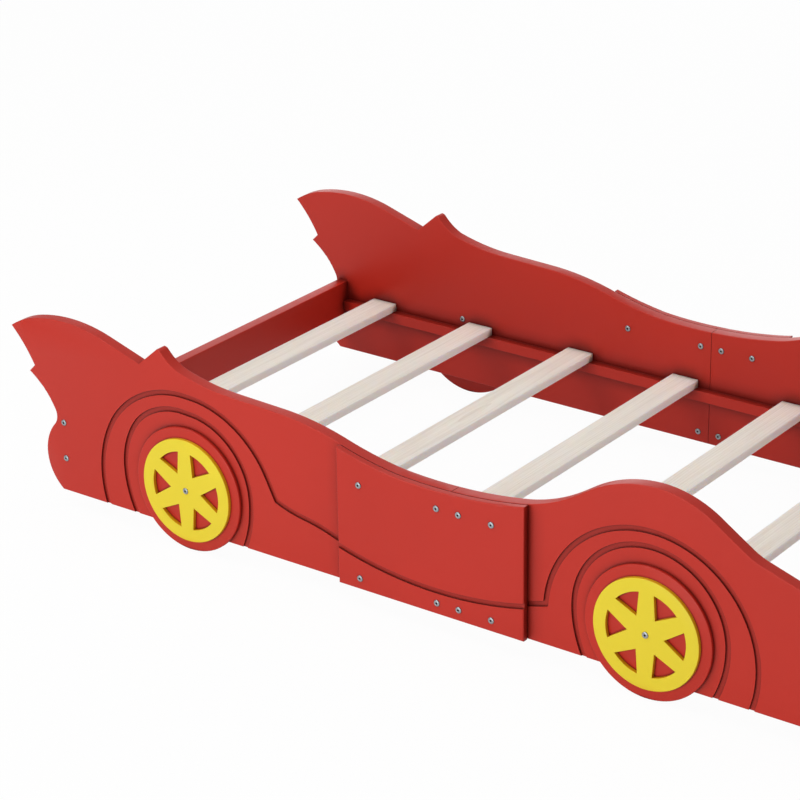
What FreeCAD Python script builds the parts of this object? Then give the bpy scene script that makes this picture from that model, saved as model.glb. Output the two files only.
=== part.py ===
import FreeCAD, Part

import math
import os
import re

import Sketcher

# A child's bed in the form of a racing car, of painted board, pale slats and
# bolts.  Lengths are in millimetres.  Each piece is drawn about the line where
# the two halves of a side panel meet: x runs from the tail to the nose, z runs up
# from the bottom edge of the side panels.  The placed bed stands on its four
# tyre discs, with the origin on the floor below the middle of its outer size.
# "Right" and "left" are those of a driver who faces the nose.

SIZES = [
    # the space for the mattress, and the boards round it
    ("inner_width", 992, "clear width between the side panels"),
    ("rear_board_x", 1046, "panel joint back to the middle of the rear board"),
    ("front_board_x", 919, "panel joint forward to the middle of the front board"),
    ("board_thickness", 28, "end boards"),
    ("board_bottom", 62, "lower edge of the end boards"),
    ("board_height", 120, "depth of the end boards"),
    ("panel_thickness", 28, "side panels"),
    ("joint_gap", 1, "open joint between the two halves of a side panel"),
    ("edge_round", 2, "rounding of the painted boards' edges"),
    # tail outline: how far behind the rear board's middle, and how high
    ("tail_foot", 15, "lower corner"),
    ("bumper_top", 27, "upper end of the bumper"),
    ("bumper_top_height", 157.5, "upper end of the bumper"),
    ("bumper_bow", 35.3, "rise of the bumper's arc"),
    ("waist_top", 23.5, "upper end of the nick above the bumper"),
    ("waist_top_height", 190.5, "upper end of the nick above the bumper"),
    ("waist_bow", -4.5, "hollow of that nick"),
    ("barb_tip", 94, "point of the barb below the fin"),
    ("barb_tip_height", 268, "point of the barb below the fin"),
    ("barb_bow", -7, "hollow of the barb's lower side"),
    ("barb_root", 78, "corner above the barb"),
    ("barb_root_height", 284, "corner above the barb"),
    ("fin_tip", 140, "rearmost point of the fin"),
    ("fin_tip_height", 366, "rearmost point of the fin"),
    ("fin_back_bow", -4, "hollow of the fin's rear side"),
    ("fin_shoulder", 71, "where the fin's tip runs into its crest"),
    ("fin_shoulder_height", 397, "where the fin's tip runs into its crest"),
    ("fin_tip_bow", 3.6, "rise of the arc behind the fin's tip"),
    ("fin_crest_bow", 13.4, "rise of the fin's crest"),
    # the same outline ahead of the rear board's middle
    ("fin_fall", 128, "where the crest runs out into a slope"),
    ("fin_fall_height", 390, "where the crest runs out into a slope"),
    ("valley", 230, "nick between fin and spike"),
    ("valley_height", 358, "nick between fin and spike"),
    ("spike", 283, "point of the spike"),
    ("spike_height", 404, "point of the spike"),
    ("spike_bow", 1.5, "rise of the spike's blunt top"),
    ("spike_front", 294, "front end of the spike's top"),
    ("spike_front_height", 399, "front end of the spike's top"),
    ("spike_front_bow", -3.4, "hollow in front of the spike"),
    ("shoulder", 340, "where the spike runs into the flank"),
    ("shoulder_height", 364.5, "where the spike runs into the flank"),
    ("shoulder_bow", -4.9, "hollow behind the door"),
    # door line, measured from the joint
    ("door_back", 560, "rear end of the level stretch"),
    ("door_back_height", 340.5, "rear end of the level stretch"),
    ("door_mid", 430, "front end of the level stretch"),
    ("door_mid_height", 335.5, "front end of the level stretch"),
    ("door_mid_bow", 3.7, "rise where the line turns down"),
    ("door_rear", 290, "upper end of the dip's rear slope"),
    ("door_rear_height", 312, "upper end of the dip's rear slope"),
    ("door_rear_bow", -3.4, "hollow of the rear slope"),
    ("sill_rear", 138, "rear end of the dip's floor"),
    ("sill_rear_height", 279, "rear end of the dip's floor"),
    ("sill_rear_bow", -2.1, "hollow of the dip's floor, rear half"),
    ("sill_height", 275.2, "dip at the joint"),
    ("sill_front", 152, "front end of the dip's floor"),
    ("sill_front_height", 289.7, "front end of the dip's floor"),
    ("sill_front_bow", -2.7, "hollow of the dip's floor, front half"),
    ("fender_hollow_bow", -7.9, "hollow of the front slope"),
    # front wing, measured from the front wheel's middle
    ("fender_rise", 169, "behind the wheel, foot of the steep run"),
    ("fender_rise_height", 343, "foot of the steep run"),
    ("fender_back", 149, "behind the wheel, where the crest starts"),
    ("fender_back_height", 356, "where the crest starts"),
    ("fender_back_bow", 12.2, "rise of the crest's rear half"),
    ("fender_crest", 6, "ahead of the wheel, highest point"),
    ("fender_crest_height", 406, "highest point"),
    ("fender_front_bow", 11.5, "rise of the crest's front half"),
    ("fender_front", 144, "ahead of the wheel, where the crest ends"),
    ("fender_front_height", 361, "where the crest ends"),
    ("fender_foot", 207, "ahead of the wheel, foot of the front slope"),
    ("fender_foot_height", 319.8, "foot of the front slope"),
    ("fender_foot_bow", -1.3, "hollow at the slope's foot"),
    ("hood_start", 242, "ahead of the wheel, rear end of the bonnet"),
    ("hood_start_height", 304.6, "rear end of the bonnet"),
    # nose, measured ahead of the front board's middle
    ("hood_end", 11, "front end of the bonnet"),
    ("hood_end_height", 232, "front end of the bonnet"),
    ("nose_bow", 20, "rise of the nose's upper arc"),
    ("nose_tip", 116, "foremost point"),
    ("nose_tip_height", 120, "foremost point"),
    ("nose_foot", 81, "lower corner"),
    ("nose_foot_bow", 9, "rise of the nose's lower arc"),
    # routed lines
    ("groove_width", 12, "routed lines"),
    ("groove_depth", 4, "routed lines"),
    ("groove_overrun", 12, "how far the cutter runs past the bottom edge"),
    ("inner_arch_radius", 172, "inner arch of the front wheel, over the wheel"),
    ("inner_arch_height", 108, "where its round top meets its legs"),
    ("inner_arch_foot", 141, "half its width where the cutter leaves"),
    ("inner_arch_bow", 7.8, "rise of its legs"),
    ("outer_arch_radius", 238, "outer wheel arch"),
    ("outer_arch_height", 75, "middle of the outer wheel arch"),
    ("rear_inner_radius", 167, "inner arch of the rear wheel, its top and front"),
    ("rear_inner_side", 182.5, "the same arch, its wider side towards the tail"),
    ("rear_inner_turn", 140, "behind the wheel, where that side ends"),
    ("rear_inner_turn_height", 225, "where that side ends"),
    ("rear_inner_foot", 150, "behind the wheel, where the cutter leaves"),
    ("rear_outer_side", 250, "outer arch of the rear wheel, its wider side"),
    ("rear_outer_turn", 205, "behind the wheel, where that side ends"),
    ("rear_outer_turn_height", 218.4, "where that side ends"),
    ("rear_outer_foot", 234.5, "behind the wheel, where the cutter leaves"),
    ("sweep_angle", 26.4, "where the rear arch runs out into a straight"),
    ("sweep_run", 52.6, "length of that straight"),
    ("wave_one", 385, "first turn of the wavy line, behind the joint"),
    ("wave_one_height", 115, "first turn of the wavy line"),
    ("wave_one_bow", -2, "hollow of its first stretch"),
    ("wave_two", 300, "second turn of the wavy line, behind the joint"),
    ("wave_two_height", 95, "second turn of the wavy line"),
    ("wave_two_bow", 2.2, "rise of its second stretch"),
    ("wave_end_height", 90.5, "where it meets the front arch"),
    ("wave_long_bow", -40, "hollow of its long stretch"),
    # wheels
    ("rear_wheel_x", 686, "panel joint back to the rear wheel's middle"),
    ("front_wheel_x", 461, "panel joint forward to the front wheel's middle"),
    ("wheel_height", 100, "wheel's middle above the panels' bottom edge"),
    ("tyre_radius", 142, "tyre disc"),
    ("tyre_thickness", 8, "tyre disc"),
    ("tyre_round", 2, "rounding of the tyre's outer edge"),
    ("hub_radius", 118, "hub disc"),
    ("hub_thickness", 8, "hub disc"),
    ("hub_round", 1, "rounding of the hub's outer edge"),
    ("window_count", 6, "openings in a hub"),
    ("window_inner", 41, "hub's middle to a window's point"),
    ("window_outer", 90, "hub's middle to a window's round side"),
    ("window_angle", 19.5, "half the angle that the round side takes"),
    # door plate over the joint
    ("plate_rear", 276, "joint back to the plate's rear edge"),
    ("plate_front", 182, "joint forward to the plate's front edge"),
    ("plate_thickness", 16.6, "door plate"),
    ("plate_drop", 0.5, "plate's top edge below the panels' top edge"),
    ("plate_round", 3, "rounding of the plate's outer edges"),
    # slats and what they lie on
    ("rail_width", 20, "slat rail, across the bed"),
    ("rail_height", 25, "slat rail"),
    ("rail_top", 135, "top of the slat rails"),
    ("rail_end_gap", 1, "slat rail's end to the end board"),
    ("slat_count", 7, "slats"),
    ("slat_width", 68, "along the bed"),
    ("slat_thickness", 19, "slats"),
    ("slat_end_gap", 3, "slat's end to the side panel"),
    ("slat_margin", 82, "end board to the first slat"),
    ("slat_edge", 1.5, "bevel of a slat's long edges"),
    # dowels between rails and panels
    ("dowel_count", 6, "dowels in a rail"),
    ("dowel_radius", 4, "rail dowels"),
    ("dowel_in_panel", 13, "dowel's length in the panel"),
    ("dowel_in_rail", 13, "dowel's length in the rail"),
    ("dowel_margin", 140, "rail's end to its first dowel"),
    ("dowel_slack", 0.1, "dowel hole beyond the dowel, all round"),
    ("hole_slack", 1, "blind hole beyond the tip of what it holds"),
    # bolts and screws
    ("head_radius", 7, "bolt and screw heads"),
    ("head_height", 2.2, "bolt and screw heads"),
    ("head_bevel", 0.8, "bevel of the heads"),
    ("socket_radius", 2.3, "hexagon socket, to its corners"),
    ("socket_depth", 1.5, "hexagon socket"),
    ("bolt_radius", 3, "bolts"),
    ("bolt_play", 0.5, "bolt hole beyond the bolt, all round"),
    ("thread_play", 0.1, "threaded bore beyond the bolt, all round"),
    ("door_bolt_low", 25, "lower row of door bolts"),
    ("door_bolt_high", 236, "upper row of door bolts"),
    ("door_bolt_a", -221, "door bolt from the joint, rearmost"),
    ("door_bolt_b", -27.5, "door bolt from the joint, just behind it"),
    ("door_bolt_c", 26, "door bolt from the joint, just ahead of it"),
    ("door_bolt_d", 105, "door bolt from the joint, foremost"),
    ("sleeve_radius", 4.5, "sleeve nut's barrel"),
    ("sleeve_length", 20, "sleeve nut's barrel"),
    ("sleeve_floor", 3, "closed end of the sleeve nut"),
    ("bolt_tip", 6, "door bolt's tip from the panel's inner face"),
    ("end_bolt_low", 79, "lower bolt of an end board"),
    ("end_bolt_high", 165, "upper bolt of an end board"),
    ("end_bolt_reach", 50, "end bolt's length in the board"),
    ("barrel_radius", 5, "cross nut"),
    ("barrel_length", 16, "cross nut"),
    ("barrel_inset", 34, "board's end to the cross nut"),
    ("screw_radius", 2, "wood screws"),
    ("hub_screw_grip", 16, "hub screw's length in the panel"),
    ("tyre_screw_rise", 56.8, "tyre screw above the wheel's middle"),
    ("tyre_screw_grip", 6, "tyre screw's length in the tyre"),
]

NAMES = {name for name, number, note in SIZES}
JOINT = "((rear_board_x + fin_tip) - (front_board_x + nose_tip)) / 2"
GROUND = "tyre_radius - wheel_height"
AXIS = -1
ORIGIN_POINT = 1
START, END, CENTRE = 1, 2, 3
NEAR_PLANE = 0.001
UP = FreeCAD.Vector(0, 0, 1)
ACROSS = FreeCAD.Vector(0, 1, 0)

doc = FreeCAD.newDocument("CarBed")


# ---- sizes ---------------------------------------------------------------


def fill_sheet():
    """Write every driving size into the sheet, with its name as alias."""
    sheet = doc.addObject("Spreadsheet::Sheet", "Dims")
    for row, (name, number, note) in enumerate(SIZES, start=1):
        sheet.set(f"A{row}", note)
        sheet.set(f"B{row}", str(number))
        sheet.setAlias(f"B{row}", name)
    doc.recompute()
    return sheet


def formula(text):
    """Point each size name in a formula at its cell of the sheet."""
    return re.sub(r"[a-z_]+", lambda m: f"Dims.{m[0]}" if m[0] in NAMES else m[0], text)


def value(text):
    """Work a formula of size names out to a number."""
    return float(sheet.evalExpression(formula(text)))


def bind(thing, field, text):
    """Tie a property or constraint to a formula of size names."""
    thing.setExpression(field, formula(text))


def count(name):
    """Return a size that is a number of pieces."""
    return int(round(value(name)))


# ---- bodies and sketches -------------------------------------------------


def new_body(label):
    """Start a sub-part, named as its file will be."""
    body = doc.addObject("PartDesign::Body", label)
    body.Label = label
    body.AllowCompound = True
    return body


def new_sketch(body, name, role, offset="0"):
    """Start a sketch on one of the body's own planes, or parallel to it."""
    sketch = body.newObject("Sketcher::SketchObject", f"{body.Name}_{name}")
    plane = [f for f in body.Origin.OriginFeatures if f.Role == role][0]
    sketch.AttachmentSupport = [(plane, "")]
    sketch.MapMode = "FlatFace"
    if offset != "0":
        bind(sketch, "AttachmentOffset.Base.z", offset)
    return sketch


def dimension(sketch, kind, *places, size):
    """Add a driving dimension that follows a formula."""
    index = sketch.addConstraint(Sketcher.Constraint(kind, *places, value(size)))
    bind(sketch, f"Constraints[{index}]", size)


def fix_point(sketch, geometry, point, place):
    """Hold a point of a sketch at a place given by two formulas."""
    across, along = place
    dimension(sketch, "DistanceX", AXIS, ORIGIN_POINT, geometry, point, size=across)
    dimension(sketch, "DistanceY", AXIS, ORIGIN_POINT, geometry, point, size=along)


def bow_radius(start, end, rise):
    """Formula for the radius of an arc of the given rise over its chord."""
    across = f"(({end[0]}) - ({start[0]}))"
    along = f"(({end[1]}) - ({start[1]}))"
    return f"({across}^2 + {along}^2) / (8 * abs({rise})) + abs({rise}) / 2"


def arc_data(start, end, radius, bulge_left):
    """Middle and turning angles of an arc; it runs counter-clockwise from first to last."""
    here = FreeCAD.Vector(value(start[0]), value(start[1]), 0)
    there = FreeCAD.Vector(value(end[0]), value(end[1]), 0)
    first, last = (there, here) if bulge_left else (here, there)
    chord = last - first
    size = value(radius)
    apart = math.sqrt(max(size**2 - chord.Length**2 / 4, 0))
    inward = FreeCAD.Vector(-chord.y, chord.x, 0).normalize()
    middle = (first + last) / 2 + inward * apart
    from_angle = math.atan2(first.y - middle.y, first.x - middle.x)
    to_angle = math.atan2(last.y - middle.y, last.x - middle.x)
    if to_angle <= from_angle:
        to_angle += 2 * math.pi
    return middle, size, from_angle, to_angle


def circle_arc(middle, radius, from_angle, to_angle):
    """Arc of a circle in the sketch plane."""
    return Part.ArcOfCircle(Part.Circle(middle, UP, radius), from_angle, to_angle)


def draw_edge(sketch, start, end, rise):
    """Draw one side of an outline; return its index and its two end points."""
    if rise is None:
        ends = [FreeCAD.Vector(value(p[0]), value(p[1]), 0) for p in (start, end)]
        return sketch.addGeometry(Part.LineSegment(*ends), False), START, END
    bulge_left = value(rise) > 0
    radius = bow_radius(start, end, rise)
    index = sketch.addGeometry(circle_arc(*arc_data(start, end, radius, bulge_left)), False)
    dimension(sketch, "Radius", index, size=radius)
    return (index, END, START) if bulge_left else (index, START, END)


def draw_outline(sketch, stations):
    """Close an outline through stations of (across, up, rise of the side that leaves)."""
    sides = []
    for here, there in zip(stations, stations[1:] + stations[:1]):
        sides.append(draw_edge(sketch, here[:2], there[:2], here[2]))
    for (last, _, last_end), (side, side_start, _), here in zip(sides[-1:] + sides, sides, stations):
        sketch.addConstraint(Sketcher.Constraint("Coincident", last, last_end, side, side_start))
        fix_point(sketch, side, side_start, here[:2])


def draw_rectangle(sketch, low, high):
    """Draw an upright rectangle between two corners."""
    corners = [(low[0], low[1]), (high[0], low[1]), (high[0], high[1]), (low[0], high[1])]
    draw_outline(sketch, [(across, up, None) for across, up in corners])


def draw_circles(sketch, places, radius):
    """Draw equal circles at a list of places."""
    for across, up in places:
        middle = FreeCAD.Vector(value(across), value(up), 0)
        index = sketch.addGeometry(Part.Circle(middle, UP, value(radius)), False)
        dimension(sketch, "Radius", index, size=radius)
        fix_point(sketch, index, CENTRE, (across, up))


def draw_slot(sketch, start, end, radius, bulge_left, width):
    """Draw the round-ended slot that a cutter leaves along an arc."""
    middle, size, from_angle, to_angle = arc_data(start, end, radius, bulge_left)
    half = value(width) / 2
    turn = FreeCAD.Vector(math.cos(to_angle), math.sin(to_angle), 0)
    back = FreeCAD.Vector(math.cos(from_angle), math.sin(from_angle), 0)
    outer = sketch.addGeometry(circle_arc(middle, size + half, from_angle, to_angle), False)
    inner = sketch.addGeometry(circle_arc(middle, size - half, from_angle, to_angle), False)
    last_cap = circle_arc(middle + turn * size, half, to_angle, to_angle + math.pi)
    first_cap = circle_arc(middle + back * size, half, from_angle + math.pi, from_angle + 2 * math.pi)
    last = sketch.addGeometry(last_cap, False)
    first = sketch.addGeometry(first_cap, False)
    sketch.addConstraint(Sketcher.Constraint("Tangent", outer, END, last, START))
    sketch.addConstraint(Sketcher.Constraint("Tangent", last, END, inner, END))
    sketch.addConstraint(Sketcher.Constraint("Tangent", inner, START, first, START))
    sketch.addConstraint(Sketcher.Constraint("Tangent", first, END, outer, START))
    sketch.addConstraint(Sketcher.Constraint("Coincident", outer, CENTRE, inner, CENTRE))
    dimension(sketch, "Radius", last, size=f"{width} / 2")
    fix_point(sketch, last, CENTRE, start if bulge_left else end)
    fix_point(sketch, first, CENTRE, end if bulge_left else start)
    dimension(sketch, "Radius", outer, size=f"{radius} + {width} / 2")


def draw_straight_slot(sketch, start, end, width):
    """Draw the round-ended slot that a cutter leaves along a straight."""
    here = FreeCAD.Vector(value(start[0]), value(start[1]), 0)
    there = FreeCAD.Vector(value(end[0]), value(end[1]), 0)
    along = (there - here).normalize()
    aside = FreeCAD.Vector(-along.y, along.x, 0) * (value(width) / 2)
    angle = math.atan2(aside.y, aside.x)
    left = sketch.addGeometry(Part.LineSegment(there + aside, here + aside), False)
    first = sketch.addGeometry(circle_arc(here, aside.Length, angle, angle + math.pi), False)
    right = sketch.addGeometry(Part.LineSegment(here - aside, there - aside), False)
    last = sketch.addGeometry(circle_arc(there, aside.Length, angle - math.pi, angle), False)
    ring = [left, first, right, last]
    for here_side, next_side in zip(ring, ring[1:] + ring[:1]):
        sketch.addConstraint(Sketcher.Constraint("Tangent", here_side, END, next_side, START))
    dimension(sketch, "Radius", first, size=f"{width} / 2")
    fix_point(sketch, first, CENTRE, start)
    fix_point(sketch, last, CENTRE, end)


# ---- features ------------------------------------------------------------


def pad(body, sketch, length, back=False, both_ways=False):
    """Thicken a sketch; "back" turns it against the sketch's normal."""
    feature = body.newObject("PartDesign::Pad", f"{sketch.Name}_pad")
    feature.Profile = sketch
    feature.Reversed = back
    feature.Midplane = both_ways
    bind(feature, "Length", length)
    doc.recompute()
    return feature


def pocket(body, sketch, depth=None, back=False):
    """Cut a sketch's shape away, through the whole piece where no depth is given."""
    before = body.Shape.Volume
    feature = body.newObject("PartDesign::Pocket", f"{sketch.Name}_cut")
    feature.Profile = sketch
    feature.Reversed = back
    if depth is None:
        feature.Type = "ThroughAll"
        feature.Midplane = True
    else:
        bind(feature, "Length", depth)
    doc.recompute()
    if not body.Shape.Volume < before:
        raise RuntimeError(f"{feature.Name} cuts nothing")
    return feature


def dress_edges(body, kind, field, size, wanted):
    """Round or bevel the edges of the body's last feature that a test picks out."""
    base = body.Tip
    names = [f"Edge{n}" for n, edge in enumerate(base.Shape.Edges, start=1) if wanted(edge)]
    feature = body.newObject(f"PartDesign::{kind}", f"{base.Name}_{kind.lower()}")
    feature.Base = (base, names)
    bind(feature, field, size)
    doc.recompute()
    if not feature.Shape.Volume < base.Shape.Volume:
        raise RuntimeError(f"{feature.Name} takes nothing off")
    return feature


def spans(edge, axis):
    """Lowest and highest position of an edge along an axis."""
    box = edge.BoundBox
    return {"x": (box.XMin, box.XMax), "y": (box.YMin, box.YMax), "z": (box.ZMin, box.ZMax)}[axis]


def lies_at(edge, axis, place):
    """Whether an edge lies wholly at one position along an axis."""
    low, high = spans(edge, axis)
    return abs(low - place) < NEAR_PLANE and abs(high - place) < NEAR_PLANE


def runs_along(edge, axis):
    """Whether an edge is a straight one that runs along an axis."""
    return all(lies_at(edge, other, spans(edge, other)[0]) for other in "xyz" if other != axis)


def place(body, x="0", y="0", z="0"):
    """Set a finished piece down in the bed, x from the joint and z from the panels' edge."""
    bind(body, "Placement.Base.x", f"{JOINT} + ({x})")
    bind(body, "Placement.Base.y", y)
    bind(body, "Placement.Base.z", f"{GROUND} + ({z})")


def side_sketch(body, name, depth="0"):
    """Sketch in x and z, at a depth outwards from the side panel's inner face."""
    return new_sketch(body, name, "XZ_Plane", f"-({depth})")


def grow(body, sketch, length, inwards=False):
    """Thicken a side sketch outwards, or inwards."""
    return pad(body, sketch, length, back=not inwards)


def cut(body, sketch, depth, outwards=False):
    """Cut a side sketch's shape inwards, or outwards."""
    return pocket(body, sketch, depth, back=not outwards)


def place_at_side(body, x="0", z="0"):
    """Set a piece down on the left side panel's inner face."""
    place(body, x, "inner_width / 2", z)


# ---- where things lie ----------------------------------------------------

REAR_WHEEL = "-rear_wheel_x"
FRONT_WHEEL = "front_wheel_x"
PANEL_FACE = "panel_thickness"
PLATE_FACE = "(panel_thickness + plate_thickness)"
TYRE_FACE = "(panel_thickness + tyre_thickness)"
HUB_FACE = "(panel_thickness + tyre_thickness + hub_thickness)"

DOOR_BOLT_COLUMNS = ("door_bolt_a", "door_bolt_b", "door_bolt_c", "door_bolt_d")
DOOR_BOLTS = [(x, z) for x in DOOR_BOLT_COLUMNS for z in ("door_bolt_low", "door_bolt_high")]
END_BOLT_ROWS = ("end_bolt_low", "end_bolt_high")
REAR_END_BOLTS = [("-rear_board_x", z) for z in END_BOLT_ROWS]
FRONT_END_BOLTS = [("front_board_x", z) for z in END_BOLT_ROWS]


def behind_board(distance):
    """Position behind the rear board's middle."""
    return f"-(rear_board_x + {distance})"


def ahead_of_rear_board(distance):
    """Position ahead of the rear board's middle."""
    return f"-(rear_board_x - {distance})"


def tail_outline():
    """Side panel's rear half: bumper, barb, fin, spike and the rear of the door line."""
    return [
        ("-joint_gap / 2", "0", None),
        (behind_board("tail_foot"), "0", "bumper_bow"),
        (behind_board("bumper_top"), "bumper_top_height", "waist_bow"),
        (behind_board("waist_top"), "waist_top_height", "barb_bow"),
        (behind_board("barb_tip"), "barb_tip_height", None),
        (behind_board("barb_root"), "barb_root_height", "fin_back_bow"),
        (behind_board("fin_tip"), "fin_tip_height", "fin_tip_bow"),
        (behind_board("fin_shoulder"), "fin_shoulder_height", "fin_crest_bow"),
        (ahead_of_rear_board("fin_fall"), "fin_fall_height", None),
        (ahead_of_rear_board("valley"), "valley_height", None),
        (ahead_of_rear_board("spike"), "spike_height", "spike_bow"),
        (ahead_of_rear_board("spike_front"), "spike_front_height", "spike_front_bow"),
        (ahead_of_rear_board("shoulder"), "shoulder_height", "shoulder_bow"),
        ("-door_back", "door_back_height", None),
        ("-door_mid", "door_mid_height", "door_mid_bow"),
        ("-door_rear", "door_rear_height", "door_rear_bow"),
        ("-sill_rear", "sill_rear_height", "sill_rear_bow"),
        ("-joint_gap / 2", "sill_height", None),
    ]


def nose_outline():
    """Side panel's front half: the rest of the door line, wing, bonnet and nose."""
    return [
        ("joint_gap / 2", "sill_height", "sill_front_bow"),
        ("sill_front", "sill_front_height", "fender_hollow_bow"),
        ("front_wheel_x - fender_rise", "fender_rise_height", None),
        ("front_wheel_x - fender_back", "fender_back_height", "fender_back_bow"),
        ("front_wheel_x + fender_crest", "fender_crest_height", "fender_front_bow"),
        ("front_wheel_x + fender_front", "fender_front_height", None),
        ("front_wheel_x + fender_foot", "fender_foot_height", "fender_foot_bow"),
        ("front_wheel_x + hood_start", "hood_start_height", None),
        ("front_board_x + hood_end", "hood_end_height", "nose_bow"),
        ("front_board_x + nose_tip", "nose_tip_height", "nose_foot_bow"),
        ("front_board_x + nose_foot", "0", None),
        ("joint_gap / 2", "0", None),
    ]


def door_outline():
    """Door plate's blank: the dip of the door line, a hair lower, down to the edge."""
    line = [
        ("-door_rear", "door_rear_height", "door_rear_bow"),
        ("-sill_rear", "sill_rear_height", "sill_rear_bow"),
        ("0", "sill_height", "sill_front_bow"),
        ("sill_front", "sill_front_height", "fender_hollow_bow"),
        ("front_wheel_x - fender_rise", "fender_rise_height", None),
    ]
    top = [(x, f"{z} - plate_drop", rise) for x, z, rise in line]
    return top + [("front_wheel_x - fender_rise", "0", None), ("-door_rear", "0", None)]


def front_inner_arch():
    """Cutter's path for the front inner arch: a round top on two bowed legs."""
    left = (f"{FRONT_WHEEL} - inner_arch_radius", "inner_arch_height")
    top = (FRONT_WHEEL, "inner_arch_height + inner_arch_radius")
    right = (f"{FRONT_WHEEL} + inner_arch_radius", "inner_arch_height")
    left_foot = (f"{FRONT_WHEEL} - inner_arch_foot", "-groove_overrun")
    right_foot = (f"{FRONT_WHEEL} + inner_arch_foot", "-groove_overrun")
    return [
        (left_foot, left, bow_radius(left_foot, left, "inner_arch_bow")),
        (left, top, "inner_arch_radius"),
        (top, right, "inner_arch_radius"),
        (right, right_foot, bow_radius(right, right_foot, "inner_arch_bow")),
    ]


def rear_inner_arch():
    """Cutter's path for the rear inner arch, which is wider on its tail side."""
    left_foot = (f"{REAR_WHEEL} - rear_inner_foot", "-groove_overrun")
    left = (f"{REAR_WHEEL} - rear_inner_side", "inner_arch_height")
    turn = (f"{REAR_WHEEL} - rear_inner_turn", "rear_inner_turn_height")
    top = (REAR_WHEEL, "inner_arch_height + rear_inner_radius")
    right = (f"{REAR_WHEEL} + rear_inner_radius", "inner_arch_height")
    right_foot = (f"{REAR_WHEEL} + inner_arch_foot", "-groove_overrun")
    return [
        (left_foot, left, bow_radius(left_foot, left, "inner_arch_bow")),
        (left, turn, "rear_inner_side"),
        (turn, top, "rear_inner_radius"),
        (top, right, "rear_inner_radius"),
        (right, right_foot, bow_radius(right, right_foot, "inner_arch_bow")),
    ]


def outer_arch_point(wheel, sign, height):
    """Point of the outer arch at a height, ahead of (+) or behind (-) the wheel."""
    across = f"sqrt(outer_arch_radius^2 - ({height} - outer_arch_height)^2)"
    return f"{wheel} {sign} {across}", height


def outer_arch_top(wheel):
    """Highest point of the outer arch."""
    return wheel, "outer_arch_height + outer_arch_radius"


def sweep_start():
    """Where the rear outer arch runs out into its straight."""
    return (
        f"{REAR_WHEEL} + outer_arch_radius * cos(sweep_angle)",
        "outer_arch_height + outer_arch_radius * sin(sweep_angle)",
    )


def sweep_end():
    """Corner where that straight meets the wavy line."""
    x, z = sweep_start()
    return f"{x} + sweep_run * sin(sweep_angle)", f"{z} - sweep_run * cos(sweep_angle)"


def long_wave():
    """Cutter's path of the wavy line's long stretch, across the door plate."""
    start = ("-wave_two", "wave_two_height")
    end = outer_arch_point(FRONT_WHEEL, "-", "wave_end_height")
    return start, end, bow_radius(start, end, "wave_long_bow")


# ---- routed lines --------------------------------------------------------


def rout(body, name, path, face, bulge_left=True):
    """Rout one arc of a groove into the outer face that lies at a depth."""
    start, end, radius = path
    sketch = side_sketch(body, name, face)
    draw_slot(sketch, start, end, radius, bulge_left, "groove_width")
    cut(body, sketch, "groove_depth")


def rout_straight(body, name, start, end, face):
    """Rout a straight stretch of a groove."""
    sketch = side_sketch(body, name, face)
    draw_straight_slot(sketch, start, end, "groove_width")
    cut(body, sketch, "groove_depth")


def rout_rear_lines(body):
    """Both arches of the rear wheel, and the wavy line that leaves the outer one."""
    for number, path in enumerate(rear_inner_arch()):
        rout(body, f"inner_arch_{number}", path, PANEL_FACE)
    foot = (f"{REAR_WHEEL} - rear_outer_foot", "-groove_overrun")
    turn = (f"{REAR_WHEEL} - rear_outer_turn", "rear_outer_turn_height")
    top = outer_arch_top(REAR_WHEEL)
    rout(body, "outer_arch_0", (foot, turn, "rear_outer_side"), PANEL_FACE)
    rout(body, "outer_arch_1", (turn, top, "outer_arch_radius"), PANEL_FACE)
    rout(body, "outer_arch_2", (top, sweep_start(), "outer_arch_radius"), PANEL_FACE)
    rout_straight(body, "sweep", sweep_start(), sweep_end(), PANEL_FACE)
    turns = [sweep_end(), ("-wave_one", "wave_one_height"), ("-wave_two", "wave_two_height")]
    first = (turns[0], turns[1], bow_radius(turns[0], turns[1], "wave_one_bow"))
    second = (turns[1], turns[2], bow_radius(turns[1], turns[2], "wave_two_bow"))
    rout(body, "wave_0", first, PANEL_FACE, bulge_left=False)
    rout(body, "wave_1", second, PANEL_FACE)
    rout(body, "wave_2", long_wave(), PANEL_FACE, bulge_left=False)


def rout_front_lines(body):
    """Both arches of the front wheel, and the end of the wavy line."""
    for number, path in enumerate(front_inner_arch()):
        rout(body, f"inner_arch_{number}", path, PANEL_FACE)
    corner = outer_arch_point(FRONT_WHEEL, "-", "wave_end_height")
    top = outer_arch_top(FRONT_WHEEL)
    foot = outer_arch_point(FRONT_WHEEL, "+", "-groove_overrun")
    rout(body, "outer_arch_0", (corner, top, "outer_arch_radius"), PANEL_FACE)
    rout(body, "outer_arch_1", (top, foot, "outer_arch_radius"), PANEL_FACE)
    rout(body, "wave_2", long_wave(), PANEL_FACE, bulge_left=False)


# ---- holes ---------------------------------------------------------------


def drill(body, name, places, radius, depth, face="0", outwards=False):
    """Drill blind holes at a list of places, from the face that lies at a depth."""
    sketch = side_sketch(body, name, face)
    draw_circles(sketch, places, radius)
    cut(body, sketch, depth, outwards)


def drill_through(body, name, places, radius):
    """Drill holes through the whole piece."""
    sketch = new_sketch(body, name, "XZ_Plane")
    draw_circles(sketch, places, radius)
    pocket(body, sketch)


def dowel_places(low, high):
    """Dowels of a slat rail that lie between two positions along the bed."""
    first = "-(rear_board_x - board_thickness / 2 - dowel_margin)"
    last = "(front_board_x - board_thickness / 2 - dowel_margin)"
    gaps = count("dowel_count") - 1
    steps = [f"{first} + ({last} - {first}) * {number} / {gaps}" for number in range(gaps + 1)]
    height = "rail_top - rail_height / 2"
    return [(x, height) for x in steps if low < value(x) < high]


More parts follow.
